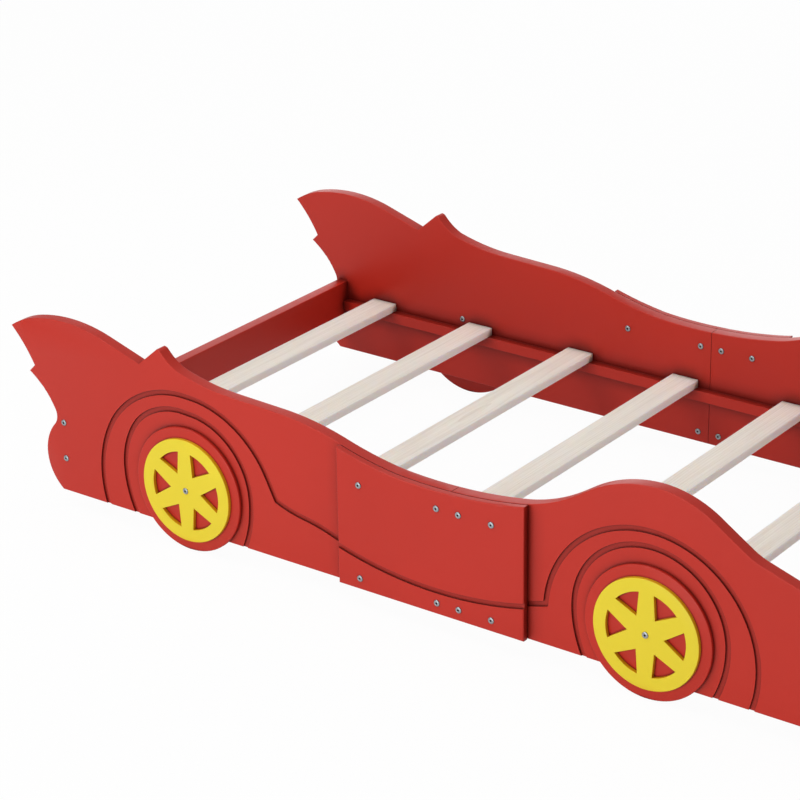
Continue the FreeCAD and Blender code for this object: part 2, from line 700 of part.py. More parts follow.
def drill_panel(body, wheel, end_bolts, low, high):
    """Holes of a panel half: door bolts, end bolts, wheel screws and rail dowels."""
    door = [(x, z) for x, z in DOOR_BOLTS if low < value(x) < high]
    drill_through(body, "door_bolts", door, "bolt_radius + bolt_play")
    sleeve = "sleeve_radius + dowel_slack"
    drill(body, "sleeves", door, sleeve, "sleeve_length + hole_slack", outwards=True)
    drill_through(body, "end_bolts", end_bolts, "bolt_radius + bolt_play")
    screw = "screw_radius + thread_play"
    hub_depth = "hub_screw_grip + hole_slack"
    drill(body, "hub_screw", [(wheel, "wheel_height")], screw, hub_depth, PANEL_FACE)
    drill_through(body, "tyre_screw", [(wheel, "wheel_height + tyre_screw_rise")], screw)
    dowels = dowel_places(low, high)
    dowel_depth = "dowel_in_panel + hole_slack"
    drill(body, "dowels", dowels, "dowel_radius + dowel_slack", dowel_depth, outwards=True)


# ---- boards --------------------------------------------------------------


def round_rims(body, faces, butt):
    """Round a board's edges, one face after the other, apart from those of its butt end."""
    for face in faces:
        plane = value(face)
        dress_edges(
            body, "Fillet", "Radius", "edge_round",
            lambda edge: lies_at(edge, "y", plane) and not lies_at(edge, "x", butt),
        )


def make_panel_half(label, outline, butt, rout_lines, wheel, end_bolts, low, high):
    """Half of a side panel: outline, rounded edges, routed lines and holes."""
    body = new_body(label)
    sketch = side_sketch(body, "outline")
    draw_outline(sketch, outline)
    grow(body, sketch, "panel_thickness")
    round_rims(body, ("0", PANEL_FACE), value(butt))
    rout_lines(body)
    drill_panel(body, wheel, end_bolts, low, high)
    place_at_side(body)
    return body


def make_side_panel():
    """The rear and the front half of the side panel."""
    rear_limit = value("-rear_board_x")
    front_limit = value("front_board_x")
    rear = make_panel_half(
        "panel_rear_left", tail_outline(), "-joint_gap / 2",
        rout_rear_lines, REAR_WHEEL, REAR_END_BOLTS, rear_limit, 0,
    )
    front = make_panel_half(
        "panel_front_left", nose_outline(), "joint_gap / 2",
        rout_front_lines, FRONT_WHEEL, FRONT_END_BOLTS, 0, front_limit,
    )
    return [rear, front]


def make_door_plate():
    """Plate that laps the panel joint, with the wavy line running across it."""
    body = new_body("door_plate_left")
    blank = side_sketch(body, "outline", PANEL_FACE)
    draw_outline(blank, door_outline())
    grow(body, blank, "plate_thickness")
    for name, low, high in (
        ("rear_end", "-door_rear - 1", "-plate_rear"),
        ("front_end", "plate_front", "front_wheel_x - fender_rise + 1"),
    ):
        sketch = new_sketch(body, name, "XZ_Plane")
        draw_rectangle(sketch, (low, "-1"), (high, "fender_crest_height"))
        pocket(body, sketch)
    outer = value(PLATE_FACE)
    dress_edges(body, "Fillet", "Radius", "plate_round", lambda edge: lies_at(edge, "y", outer))
    rout(body, "wave", long_wave(), PLATE_FACE, bulge_left=False)
    drill_through(body, "door_bolts", DOOR_BOLTS, "bolt_radius + bolt_play")
    place_at_side(body)
    return body


def make_slat_rail():
    """Batten along the inside of a side panel, on which the slats lie."""
    body = new_body("slat_rail_left")
    sketch = side_sketch(body, "outline")
    rear = "-(rear_board_x - board_thickness / 2 - rail_end_gap)"
    front = "front_board_x - board_thickness / 2 - rail_end_gap"
    draw_rectangle(sketch, (rear, "rail_top - rail_height"), (front, "rail_top"))
    grow(body, sketch, "rail_width", inwards=True)
    dowels = dowel_places(value(rear), value(front))
    drill(body, "dowels", dowels, "dowel_radius + dowel_slack", "dowel_in_rail + hole_slack")
    place_at_side(body)
    return body


def make_end_board(label, x, outer_is_front):
    """Board between the side panels, with its bolt holes and cross-nut holes."""
    body = new_body(label)
    sketch = new_sketch(body, "outline", "YZ_Plane")
    top = "board_bottom + board_height"
    draw_rectangle(sketch, ("-inner_width / 2", "board_bottom"), ("inner_width / 2", top))
    pad(body, sketch, "board_thickness", both_ways=True)
    dress_edges(body, "Fillet", "Radius", "edge_round", lambda edge: runs_along(edge, "y"))
    bolt_depth = "end_bolt_reach + hole_slack"
    for end, offset, back in (("right", "inner_width / 2", False), ("left", "-inner_width / 2", True)):
        sketch = new_sketch(body, f"{end}_bolts", "XZ_Plane", offset)
        draw_circles(sketch, [("0", z) for z in END_BOLT_ROWS], "bolt_radius + bolt_play")
        pocket(body, sketch, bolt_depth, back)
    outer = "board_thickness / 2" if outer_is_front else "-board_thickness / 2"
    sketch = new_sketch(body, "cross_nuts", "YZ_Plane", outer)
    draw_circles(sketch, cross_nut_places(), "barrel_radius + dowel_slack")
    nut_depth = "(board_thickness + barrel_length) / 2 + hole_slack"
    pocket(body, sketch, nut_depth, back=not outer_is_front)
    place(body, x)
    return body


def cross_nut_places():
    """Cross nuts of an end board, across the bed and up."""
    inset = "(inner_width / 2 - barrel_inset)"
    return [(f"{sign}{inset}", z) for sign in ("-", "") for z in END_BOLT_ROWS]


def make_slats():
    """Equal slats, evenly spaced between the end boards."""
    slats = []
    total = count("slat_count")
    first = "-(rear_board_x - board_thickness / 2 - slat_margin - slat_width / 2)"
    last = "(front_board_x - board_thickness / 2 - slat_margin - slat_width / 2)"
    for number in range(total):
        body = new_body(f"slat_{number + 1}")
        sketch = new_sketch(body, "section", "XZ_Plane")
        low = ("-slat_width / 2", "rail_top")
        high = ("slat_width / 2", "rail_top + slat_thickness")
        draw_rectangle(sketch, low, high)
        pad(body, sketch, "inner_width - 2 * slat_end_gap", both_ways=True)
        dress_edges(body, "Chamfer", "Size", "slat_edge", lambda edge: runs_along(edge, "y"))
        place(body, f"{first} + ({last} - {first}) * {number} / {total - 1}")
        slats.append(body)
    return slats


# ---- wheels --------------------------------------------------------------


def make_tyre(label, wheel):
    """Plain disc that the hub sits on; the bed stands on its lowest point."""
    body = new_body(label)
    sketch = side_sketch(body, "disc", PANEL_FACE)
    draw_circles(sketch, [("0", "0")], "tyre_radius")
    grow(body, sketch, "tyre_thickness")
    outer = value(TYRE_FACE)
    dress_edges(body, "Fillet", "Radius", "tyre_round", lambda edge: lies_at(edge, "y", outer))
    screw = "screw_radius + thread_play"
    drill_through(body, "hub_screw", [("0", "0")], screw)
    depth = "tyre_screw_grip + hole_slack"
    above = [("0", "tyre_screw_rise")]
    drill(body, "tyre_screw", above, screw, depth, PANEL_FACE, outwards=True)
    place_at_side(body, wheel, "wheel_height")
    return body


def make_hub(label, wheel):
    """Disc with a ring of three-cornered windows between its spokes."""
    body = new_body(label)
    sketch = side_sketch(body, "disc", TYRE_FACE)
    draw_circles(sketch, [("0", "0")], "hub_radius")
    grow(body, sketch, "hub_thickness")
    outer = value(HUB_FACE)
    dress_edges(body, "Fillet", "Radius", "hub_round", lambda edge: lies_at(edge, "y", outer))
    drill_through(body, "hub_screw", [("0", "0")], "screw_radius + thread_play")
    window = new_sketch(body, "window", "XZ_Plane")
    across = "window_outer * cos(window_angle)"
    half = "window_outer * sin(window_angle)"
    rise = "window_outer * (1 - cos(window_angle))"
    draw_outline(window, [
        ("window_inner", "0", None),
        (across, half, rise),
        (across, f"-{half}", None),
    ])
    opening = pocket(body, window)
    ring = body.newObject("PartDesign::PolarPattern", f"{label}_windows")
    ring.Originals = [opening]
    ring.Axis = (window, ["N_Axis"])
    ring.Angle = 360
    bind(ring, "Occurrences", "window_count")
    body.Tip = ring
    doc.recompute()
    place_at_side(body, wheel, "wheel_height")
    return body


def make_wheels():
    """Tyre and hub discs of both wheels of a side."""
    pieces = []
    for name, wheel in (("rear", REAR_WHEEL), ("front", FRONT_WHEEL)):
        pieces.append(make_tyre(f"tyre_{name}_left", wheel))
        pieces.append(make_hub(f"hub_{name}_left", wheel))
    return pieces


# ---- fasteners -----------------------------------------------------------


def add_heads(body, places, face, inwards=False):
    """Round-edged heads on a face, each with a hexagon socket."""
    heads = side_sketch(body, "heads", face)
    draw_circles(heads, places, "head_radius")
    grow(body, heads, "head_height", inwards)
    top = f"{face} - head_height" if inwards else f"{face} + head_height"
    crown = value(top)
    dress_edges(body, "Chamfer", "Size", "head_bevel", lambda edge: lies_at(edge, "y", crown))
    sockets = side_sketch(body, "sockets", top)
    for x, z in places:
        angles = [60 * corner for corner in range(6)]
        draw_outline(sockets, [
            (f"{x} + socket_radius * cos({a})", f"{z} + socket_radius * sin({a})", None) for a in angles
        ])
    cut(body, sockets, "socket_depth", outwards=inwards)


def add_shanks(body, places, radius, inner, outer):
    """Plain shanks between two depths."""
    sketch = side_sketch(body, "shanks", inner)
    draw_circles(sketch, places, radius)
    grow(body, sketch, f"({outer}) - ({inner})")


def make_door_bolts():
    """Bolts that clamp the door plate to both panel halves."""
    body = new_body("door_bolts_left")
    add_shanks(body, DOOR_BOLTS, "bolt_radius", "bolt_tip", PLATE_FACE)
    add_heads(body, DOOR_BOLTS, PLATE_FACE)
    place_at_side(body)
    return body


def make_sleeve_nuts():
    """Flanged sleeve nuts that the door bolts screw into from the outside."""
    body = new_body("sleeve_nuts_left")
    add_shanks(body, DOOR_BOLTS, "sleeve_radius", "0", "sleeve_length")
    add_heads(body, DOOR_BOLTS, "0", inwards=True)
    depth = "sleeve_length - sleeve_floor"
    drill(body, "threads", DOOR_BOLTS, "bolt_radius + thread_play", depth, "sleeve_length")
    place_at_side(body)
    return body


def make_end_bolts():
    """Long bolts through a side panel into the end boards."""
    body = new_body("end_bolts_left")
    places = REAR_END_BOLTS + FRONT_END_BOLTS
    add_shanks(body, places, "bolt_radius", "-end_bolt_reach", PANEL_FACE)
    add_heads(body, places, PANEL_FACE)
    place_at_side(body)
    return body


def make_cross_nuts(label, x):
    """Cross nuts in an end board, each with its bolt's bore through it."""
    body = new_body(label)
    sketch = new_sketch(body, "barrels", "YZ_Plane")
    draw_circles(sketch, cross_nut_places(), "barrel_radius")
    pad(body, sketch, "barrel_length", both_ways=True)
    drill_through(body, "threads", [("0", z) for z in END_BOLT_ROWS], "bolt_radius + thread_play")
    place(body, x)
    return body


def make_hub_screws():
    """Screws through the middle of hub and tyre into the panel."""
    body = new_body("hub_screws_left")
    places = [(REAR_WHEEL, "wheel_height"), (FRONT_WHEEL, "wheel_height")]
    add_shanks(body, places, "screw_radius", f"{PANEL_FACE} - hub_screw_grip", HUB_FACE)
    add_heads(body, places, HUB_FACE)
    place_at_side(body)
    return body


def make_tyre_screws():
    """Screws from inside the bed through the panel into the tyres."""
    body = new_body("tyre_screws_left")
    height = "wheel_height + tyre_screw_rise"
    places = [(REAR_WHEEL, height), (FRONT_WHEEL, height)]
    add_shanks(body, places, "screw_radius", "0", f"{PANEL_FACE} + tyre_screw_grip")
    add_heads(body, places, "0", inwards=True)
    place_at_side(body)
    return body


def make_rail_dowels():
    """Wooden dowels that locate a slat rail on its panel."""
    body = new_body("rail_dowels_left")
    places = dowel_places(value("-rear_board_x"), value("front_board_x"))
    add_shanks(body, places, "dowel_radius", "-dowel_in_rail", "dowel_in_panel")
    place_at_side(body)
    return body


# ---- the bed -------------------------------------------------------------


def make_left_side():
    """Every piece of the left side."""
    return [
        *make_side_panel(),
        make_door_plate(),
        make_slat_rail(),
        *make_wheels(),
        make_door_bolts(),
        make_sleeve_nuts(),
        make_end_bolts(),
        make_hub_screws(),
        make_tyre_screws(),
        make_rail_dowels(),
    ]


def mirror(piece):
    """The right side's copy of a piece of the left side."""
    label = piece.Label.replace("left", "right")
    twin = doc.addObject("Part::Mirroring", label)
    twin.Label = label
    twin.Source = piece
    twin.Normal = ACROSS
    return twin


def build():
    """Make every piece of the bed."""
    left = make_left_side()
    pieces = left + [mirror(piece) for piece in left]
    pieces.append(make_end_board("rear_board", "-rear_board_x", outer_is_front=False))
    pieces.append(make_end_board("front_board", "front_board_x", outer_is_front=True))
    pieces.append(make_cross_nuts("cross_nuts_rear", "-rear_board_x"))
    pieces.append(make_cross_nuts("cross_nuts_front", "front_board_x"))
    pieces += make_slats()
    doc.recompute()
    return pieces


def check(pieces):
    """Stop if any feature failed or any piece has no valid solid."""
    for thing in doc.Objects:
        if {"Invalid", "Error"} & set(thing.State):
            raise RuntimeError(f"{thing.Name} is in state {thing.State}")
    for piece in pieces:
        if piece.Shape.isNull() or not piece.Shape.isValid() or not piece.Shape.Solids:
            raise RuntimeError(f"{piece.Label} has no valid solid")


def write(pieces):
    """Write each piece to a file of its own, named after it."""
    os.makedirs("parts", exist_ok=True)
    for piece in pieces:
        piece.Shape.exportStep(f"parts/{piece.Label}.step")
        print(piece.Label, len(piece.Shape.Solids), "solid(s)", round(piece.Shape.Volume), "mm3")


sheet = fill_sheet()
pieces = build()
check(pieces)
write(pieces)
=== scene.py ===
import logging
import math
from dataclasses import dataclass
from enum import Enum

import bmesh
import bpy
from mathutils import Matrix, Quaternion, Vector


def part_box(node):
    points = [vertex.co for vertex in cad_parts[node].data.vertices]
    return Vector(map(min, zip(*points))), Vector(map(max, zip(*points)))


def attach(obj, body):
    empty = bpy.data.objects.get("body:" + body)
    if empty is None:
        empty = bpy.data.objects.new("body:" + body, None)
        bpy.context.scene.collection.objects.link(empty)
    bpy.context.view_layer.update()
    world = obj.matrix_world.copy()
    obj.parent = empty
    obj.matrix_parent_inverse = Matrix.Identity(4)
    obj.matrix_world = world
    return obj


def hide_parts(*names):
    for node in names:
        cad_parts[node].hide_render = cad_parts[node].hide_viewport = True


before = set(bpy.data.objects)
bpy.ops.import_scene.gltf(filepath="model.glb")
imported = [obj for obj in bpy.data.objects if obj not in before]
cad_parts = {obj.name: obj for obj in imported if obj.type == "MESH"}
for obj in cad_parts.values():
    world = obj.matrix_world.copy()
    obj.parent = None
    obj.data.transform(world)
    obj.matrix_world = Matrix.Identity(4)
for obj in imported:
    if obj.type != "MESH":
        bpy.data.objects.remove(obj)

log = logging.getLogger("car_bed")

Rgb = tuple[float, float, float]
Xyz = tuple[float, float, float]
Box = tuple[Vector, Vector]
Socket = bpy.types.NodeSocket
Value = float | Socket
Band = tuple[Value, Value]

ROOT = "root"
SIDES = ("right", "left")
ENDS = ("rear", "front")
MM = 0.001
MERGE_DISTANCE = 0.01 * MM
FLAT_ANGLE = math.radians(0.05)
CREASE_ANGLE = math.radians(32)
CORNER_ANGLE = math.radians(60)
MOST_OF_NOISE: Band = (0.3, 0.7)
UNIT: Band = (0.0, 1.0)
WHITE: Rgb = (1.0, 1.0, 1.0)
RED_PAINT: Rgb = (0.512, 0.0255, 0.0135)
YELLOW_PAINT: Rgb = (0.790, 0.640, 0.030)
# Colour of the shade painted into the yellow hubs' hollows.
GOLDEN_SHADE: Rgb = (0.72, 0.40, 0.004)


class Slot(Enum):
    """Finishes that the record names."""

    RED = "red_paint"
    YELLOW = "yellow_paint"
    WOOD = "pale_wood"
    ZINC = "zinc_steel"


class Facing(Enum):
    """Which way a fastener's head looks on its side of the bed."""

    OUTWARDS = 1
    INWARDS = -1


# ---- small helpers -------------------------------------------------------


def rgba(color: Rgb) -> tuple[float, float, float, float]:
    """Return a colour with full opacity."""
    return (*color, 1.0)


def shade(color: Rgb, factor: float) -> Rgb:
    """Return a colour made darker (below 1) or lighter (above 1)."""
    return tuple(min(channel * factor, 1.0) for channel in color)


def new_mesh_object(name: str, mesh: bpy.types.Mesh) -> bpy.types.Object:
    """Put a mesh in the scene.

    Args:
        name: The object's name.
        mesh: What it shows.

    Returns:
        The new object, at the origin.
    """
    piece = bpy.data.objects.new(name, mesh)
    bpy.context.scene.collection.objects.link(piece)
    return piece


def merged_copy(node: str, name: str) -> bpy.types.Mesh:
    """Copy a solid's triangles and join them where they touch.

    Args:
        node: The solid to copy.
        name: The new mesh's name.

    Returns:
        A closed mesh, smooth except at its real corners.
    """
    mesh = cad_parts[node].data.copy()
    mesh.name = name
    mesh.materials.clear()
    if mesh.has_custom_normals:
        mesh.attributes.remove(mesh.attributes["custom_normal"])
    work = bmesh.new()
    work.from_mesh(mesh)
    bmesh.ops.remove_doubles(work, verts=work.verts, dist=MERGE_DISTANCE)
    bmesh.ops.dissolve_limit(
        work, angle_limit=FLAT_ANGLE, verts=work.verts, edges=work.edges, delimit={"NORMAL"}
    )
    work.to_mesh(mesh)
    work.free()
    return mesh


def crease(mesh: bpy.types.Mesh, angle: float = CREASE_ANGLE) -> None:
    """Shade a mesh smooth, with its corners kept sharp.

    Args:
        mesh: What to shade.
        angle: Turn between faces from which an edge stays sharp.
    """
    mesh.shade_smooth()
    mesh.set_sharp_from_angle(angle=angle)


def islands(node: str) -> list[Box]:
    """Find the separate solids of a node.

    Args:
        node: A node that holds one or more equal solids.

    Returns:
        Lowest and highest corner of each solid, from the tail to the nose.
    """
    work = bmesh.new()
    work.from_mesh(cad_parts[node].data)
    bmesh.ops.remove_doubles(work, verts=work.verts, dist=MERGE_DISTANCE)
    left = set(work.verts)
    found = []
    while left:
        group, edge_of_group = set(), [left.pop()]
        while edge_of_group:
            vert = edge_of_group.pop()
            group.add(vert)
            near = {edge.other_vert(vert) for edge in vert.link_edges} & left
            left -= near
            edge_of_group.extend(near)
        low = Vector([min(v.co[axis] for v in group) for axis in range(3)])
        high = Vector([max(v.co[axis] for v in group) for axis in range(3)])
        found.append((low, high))
    work.free()
    return sorted(found, key=lambda box: (round(box[0].x, 4), box[0].z))


def ease_back(mesh: bpy.types.Mesh, width: float) -> None:
    """Ease the edges of a plate's hidden face, so that its joint shows as a line.

    Args:
        mesh: The plate, which lies flat against a side panel.
        width: How far the easing runs in from the edge.
    """
    work = bmesh.new()
    work.from_mesh(mesh)
    back = min(abs(vert.co.y) for vert in work.verts)
    outline = [
        edge for edge in work.edges
        if all(abs(vert.co.y) < back + MERGE_DISTANCE for vert in edge.verts)
        and edge.calc_face_angle(0.0) > CORNER_ANGLE
        and edge.calc_length() > width
    ]
    bmesh.ops.bevel(
        work, geom=outline, offset=width, segments=1, affect="EDGES", clamp_overlap=True
    )
    work.to_mesh(mesh)
    work.free()


def finish_piece(piece: bpy.types.Object, slot: Slot, *nodes: str) -> None:
    """Hang a finished piece on the bed and let it stand for its solids.

    Args:
        piece: The dressed piece.
        slot: The finish that the record names for it. Not used.
        nodes: The solids that it stands for.
    """
    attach(piece, ROOT)
    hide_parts(*nodes)
    log.info("%s: %d faces for %s", piece.name, len(piece.data.polygons), ", ".join(nodes))


# ---- shader building -----------------------------------------------------


@dataclass(frozen=True)
class Speckle:
    """Settings of a noise: features in a metre, number of finer layers and their strength."""

    scale: Value
    detail: float
    rough: float = 0.5


@dataclass(frozen=True)
class Hollows:
    """How short rays tell a finish's hollows from its open faces, where shade is painted."""

    reach: float
    open_from: float
    shut_below: float
    rays: int = 8


class Graph:
    """A node tree with short calls for adding and wiring nodes."""

    def __init__(self, tree: bpy.types.NodeTree) -> None:
        """Keep the tree and start it empty."""
        self.tree = tree
        tree.nodes.clear()

    def node(self, kind: str, **settings: object) -> bpy.types.Node:
        """Add a node.

        Args:
            kind: The node's type name.
            settings: Its own properties.

        Returns:
            The new node.
        """
        made = self.tree.nodes.new(kind)
        for name, value in settings.items():
            setattr(made, name, value)
        return made

    def wire(self, source: Socket, target: Socket) -> None:
        """Connect an output to an input."""
        self.tree.links.new(source, target)

    def feed(self, target: Socket, value: object) -> None:
        """Connect or set an input, whichever the value asks for.

        Args:
            target: The input.
            value: An output to connect it to, or the value to set.
        """
        if isinstance(value, Socket):
            self.wire(value, target)
        else:
            target.default_value = value

    def set(self, node: bpy.types.Node, **values: object) -> None:
        """Connect or set a node's inputs, with a space in a name written as an underscore."""
        for name, value in values.items():
            self.feed(node.inputs[name.replace("_", " ")], value)

    def math(self, operation: str, first: Value, second: Value = 0.0) -> Socket:
        """Add a Math node.

        Args:
            operation: What it works out.
            first: Its first value or socket.
            second: Its second value or socket.

        Returns:
            The node's output.
        """
        made = self.node("ShaderNodeMath", operation=operation)
        self.feed(made.inputs[0], first)
        self.feed(made.inputs[1], second)
        return made.outputs[0]

    def vector(self, operation: str, first: object, second: object = (0, 0, 0)) -> Socket:
        """Add a Vector Math node.

        Args:
            operation: What it works out.
            first: Its first value or socket.
            second: Its second value or socket.

        Returns:
            The node's vector, or its value where it has only that.
        """
        made = self.node("ShaderNodeVectorMath", operation=operation)
        self.feed(made.inputs[0], first)
        self.feed(made.inputs[1], second)
        return made.outputs["Value" if operation == "LENGTH" else "Vector"]

    def noise(self, at: Socket, speckle: Speckle) -> Socket:
        """Add a Noise Texture node.

        Args:
            at: Where it is read.
            speckle: Its settings.

        Returns:
            A value around one half.
        """
        made = self.node("ShaderNodeTexNoise")
        self.set(
            made, Vector=at, Scale=speckle.scale, Detail=speckle.detail, Roughness=speckle.rough
        )
        return made.outputs["Fac"]

    def hollow(self, group: bpy.types.NodeTree, hollows: Hollows) -> Socket:
        """Add a mask for painted shade in the hollows that lie within short rays of a surface.

        Args:
            group: The shared group that makes the mask.
            hollows: Length of the rays and what counts as open or shut.

        Returns:
            The mask, which is 1 in a shut corner.
        """
        rays = self.node("ShaderNodeAmbientOcclusion", samples=hollows.rays)
        self.set(rays, Distance=hollows.reach)
        mask = self.node("ShaderNodeGroup", node_tree=group)
        self.set(
            mask, Openness=rays.outputs["AO"], Open_From=hollows.open_from,
            Shut_Below=hollows.shut_below,
        )
        return mask.outputs["Hollow"]

    def span(self, value: Value, band: Band, result: Band) -> Socket:
        """Add a Map Range node.

        Args:
            value: What is mapped.
            band: Start and end of its range.
            result: What the start and the end turn into.

        Returns:
            The mapped value, held within the result's range.
        """
        made = self.node("ShaderNodeMapRange")
        for socket, item in zip(made.inputs, (value, *band, *result)):
            self.feed(socket, item)
        return made.outputs["Result"]

    def blend(self, factor: Value, first: object, second: object) -> Socket:
        """Add a Mix node for colours.

        Args:
            factor: Share of the second colour.
            first: Colour or socket.
            second: Colour or socket.

        Returns:
            The mixed colour.
        """
        made = self.node("ShaderNodeMix", data_type="RGBA")
        self.feed(made.inputs["Factor"], factor)
        self.feed(made.inputs[6], first)
        self.feed(made.inputs[7], second)
        return made.outputs[2]

    def rounded(self, radius: float, samples: int) -> Socket:
        """Add a Bevel node.

        Args:
            radius: How far from an edge the normal starts to turn.
            samples: Number of rays that look for the edge.

        Returns:
            A normal that turns softly over each edge.
        """
        made = self.node("ShaderNodeBevel", samples=samples)
        self.set(made, Radius=radius)
        return made.outputs["Normal"]

    def bump(self, height: Socket, strength: float, depth: float) -> bpy.types.Node:
        """Add a Bump node.

        Args:
            height: Height of the surface.
            strength: Share of it that is shown.
            depth: Depth that a height of one stands for.

        Returns:
            The node, which may be given a normal to stand on.
        """
        made = self.node("ShaderNodeBump")
        self.set(made, Strength=strength, Distance=depth, Height=height)
        return made


class ValueGroup(Graph):
    """A shader node group that works out plain values for several materials."""

    def __init__(self, name: str, inputs: tuple[str, ...], outputs: tuple[str, ...]) -> None:
        """Start the group.

        Args:
            name: The group's name.
            inputs: Names of the values that it takes.
            outputs: Names of the values that it puts out.
        """
        super().__init__(bpy.data.node_groups.new(name, "ShaderNodeTree"))
        for way, labels in (("INPUT", inputs), ("OUTPUT", outputs)):
            for label in labels:
                self.tree.interface.new_socket(label, in_out=way, socket_type="NodeSocketFloat")
        self.given = self.node("NodeGroupInput").outputs
        self.result = self.node("NodeGroupOutput").inputs


def new_material(name: str) -> tuple[bpy.types.Material, Graph]:
    """Start a material.

    Args:
        name: The material's name.

    Returns:
        The material and its tree, which is empty.
    """
    material = bpy.data.materials.new(name)
    material.use_nodes = True
    return material, Graph(material.node_tree)


def painted_shade_mask() -> bpy.types.NodeTree:
    """Build the mask that tells grooves, corners and sockets from open faces, for painted shade.

    Returns:
        A group that turns openness, as seen by short rays, into a mask.
    """
    graph = ValueGroup("painted_shade_mask", ("Openness", "Open From", "Shut Below"), ("Hollow",))
    limits = (graph.given["Open From"], graph.given["Shut Below"])
    graph.wire(graph.span(graph.given["Openness"], limits, UNIT), graph.result["Hollow"])
    return graph.tree


@dataclass(frozen=True)
class SprayedCoat:
    """The unevenness that every sprayed and rubbed-down board shares."""

    skin: Speckle = Speckle(620.0, 1.5, 0.45)
    ripple: Speckle = Speckle(85.0, 2.0, 0.4)
    rubbing: Speckle = Speckle(46.0, 4.0, 0.6)
    cloud_detail: float = 3.0

    def build(self) -> bpy.types.NodeTree:
        """Build the shared group.

        Returns:
            A group with a cloudy mask, a fine mask and the height of the paint's skin.
        """
        inputs = ("Cloud Scale", "Skin Share")
        graph = ValueGroup("sprayed_coat", inputs, ("Cloud", "Fine", "Height"))
        place = graph.node("ShaderNodeTexCoord").outputs["Object"]
        cloud = graph.noise(place, Speckle(graph.given["Cloud Scale"], self.cloud_detail))
        skin = graph.noise(place, self.skin)
        raised = graph.math("MULTIPLY", skin, graph.given["Skin Share"])
        height = graph.math("ADD", raised, graph.noise(place, self.ripple))
        graph.wire(cloud, graph.result["Cloud"])
        graph.wire(graph.noise(place, self.rubbing), graph.result["Fine"])
        graph.wire(height, graph.result["Height"])
        return graph.tree


@dataclass(frozen=True)
class PaintFinish:
    """Satin paint, sprayed on board with softly broken edges.

    Hollows get painted shade: the shade colour given, or else a darker shade of the paint's colour.
    """

    name: str
    color: Rgb
    roughness: float = 0.37
    smoother: float = 0.03
    rougher: float = 0.04
    specular: float = 0.28
    cloudiness: float = 0.03
    cloud_scale: float = 3.1
    # Painted shade in hollows: how dark it is, as a share of the paint's colour.
    hollow_shade: float = 0.36
    shade_color: Rgb | None = None
    hollows: Hollows = Hollows(40 * MM, open_from=0.95, shut_below=0.58)
    broken_edge: float = 0.9 * MM
    edge_samples: int = 6
    skin_share: float = 0.35
    skin_strength: float = 0.35
    skin_depth: float = 0.05 * MM

    def build(self, coat: bpy.types.NodeTree, mask: bpy.types.NodeTree) -> bpy.types.Material:
        """Make the material.

        Args:
            coat: The shared group of a sprayed coat.
            mask: The shared group that masks grooves and corners.

        Returns:
            The paint's material.
        """
        material, graph = new_material(self.name)
        output = graph.node("ShaderNodeOutputMaterial")
        paint = graph.node("ShaderNodeBsdfPrincipled")
        surface = graph.node("ShaderNodeGroup", node_tree=coat)
        graph.set(surface, Cloud_Scale=self.cloud_scale, Skin_Share=self.skin_share)
        cloud = graph.span(surface.outputs["Cloud"], MOST_OF_NOISE, UNIT)
        darker = rgba(shade(self.color, 1 - self.cloudiness))
        lighter = rgba(shade(self.color, 1 + self.cloudiness))
        # Painted shade: hollows are blended towards a darker colour through the short-ray mask.
        shade_color = rgba(self.shade_color or shade(self.color, self.hollow_shade))
        hollow = graph.hollow(mask, self.hollows)
        color = graph.blend(hollow, graph.blend(cloud, darker, lighter), shade_color)
        spread = (self.roughness - self.smoother, self.roughness + self.rougher)
        rough = graph.span(surface.outputs["Fine"], MOST_OF_NOISE, spread)
        skin = graph.bump(surface.outputs["Height"], self.skin_strength, self.skin_depth)
        graph.set(skin, Normal=graph.rounded(self.broken_edge, self.edge_samples))
        graph.set(paint, Base_Color=color, Roughness=rough, Normal=skin.outputs["Normal"])
        graph.set(paint, Specular_IOR_Level=self.specular)
        graph.set(output, Surface=paint.outputs["BSDF"])
        return material


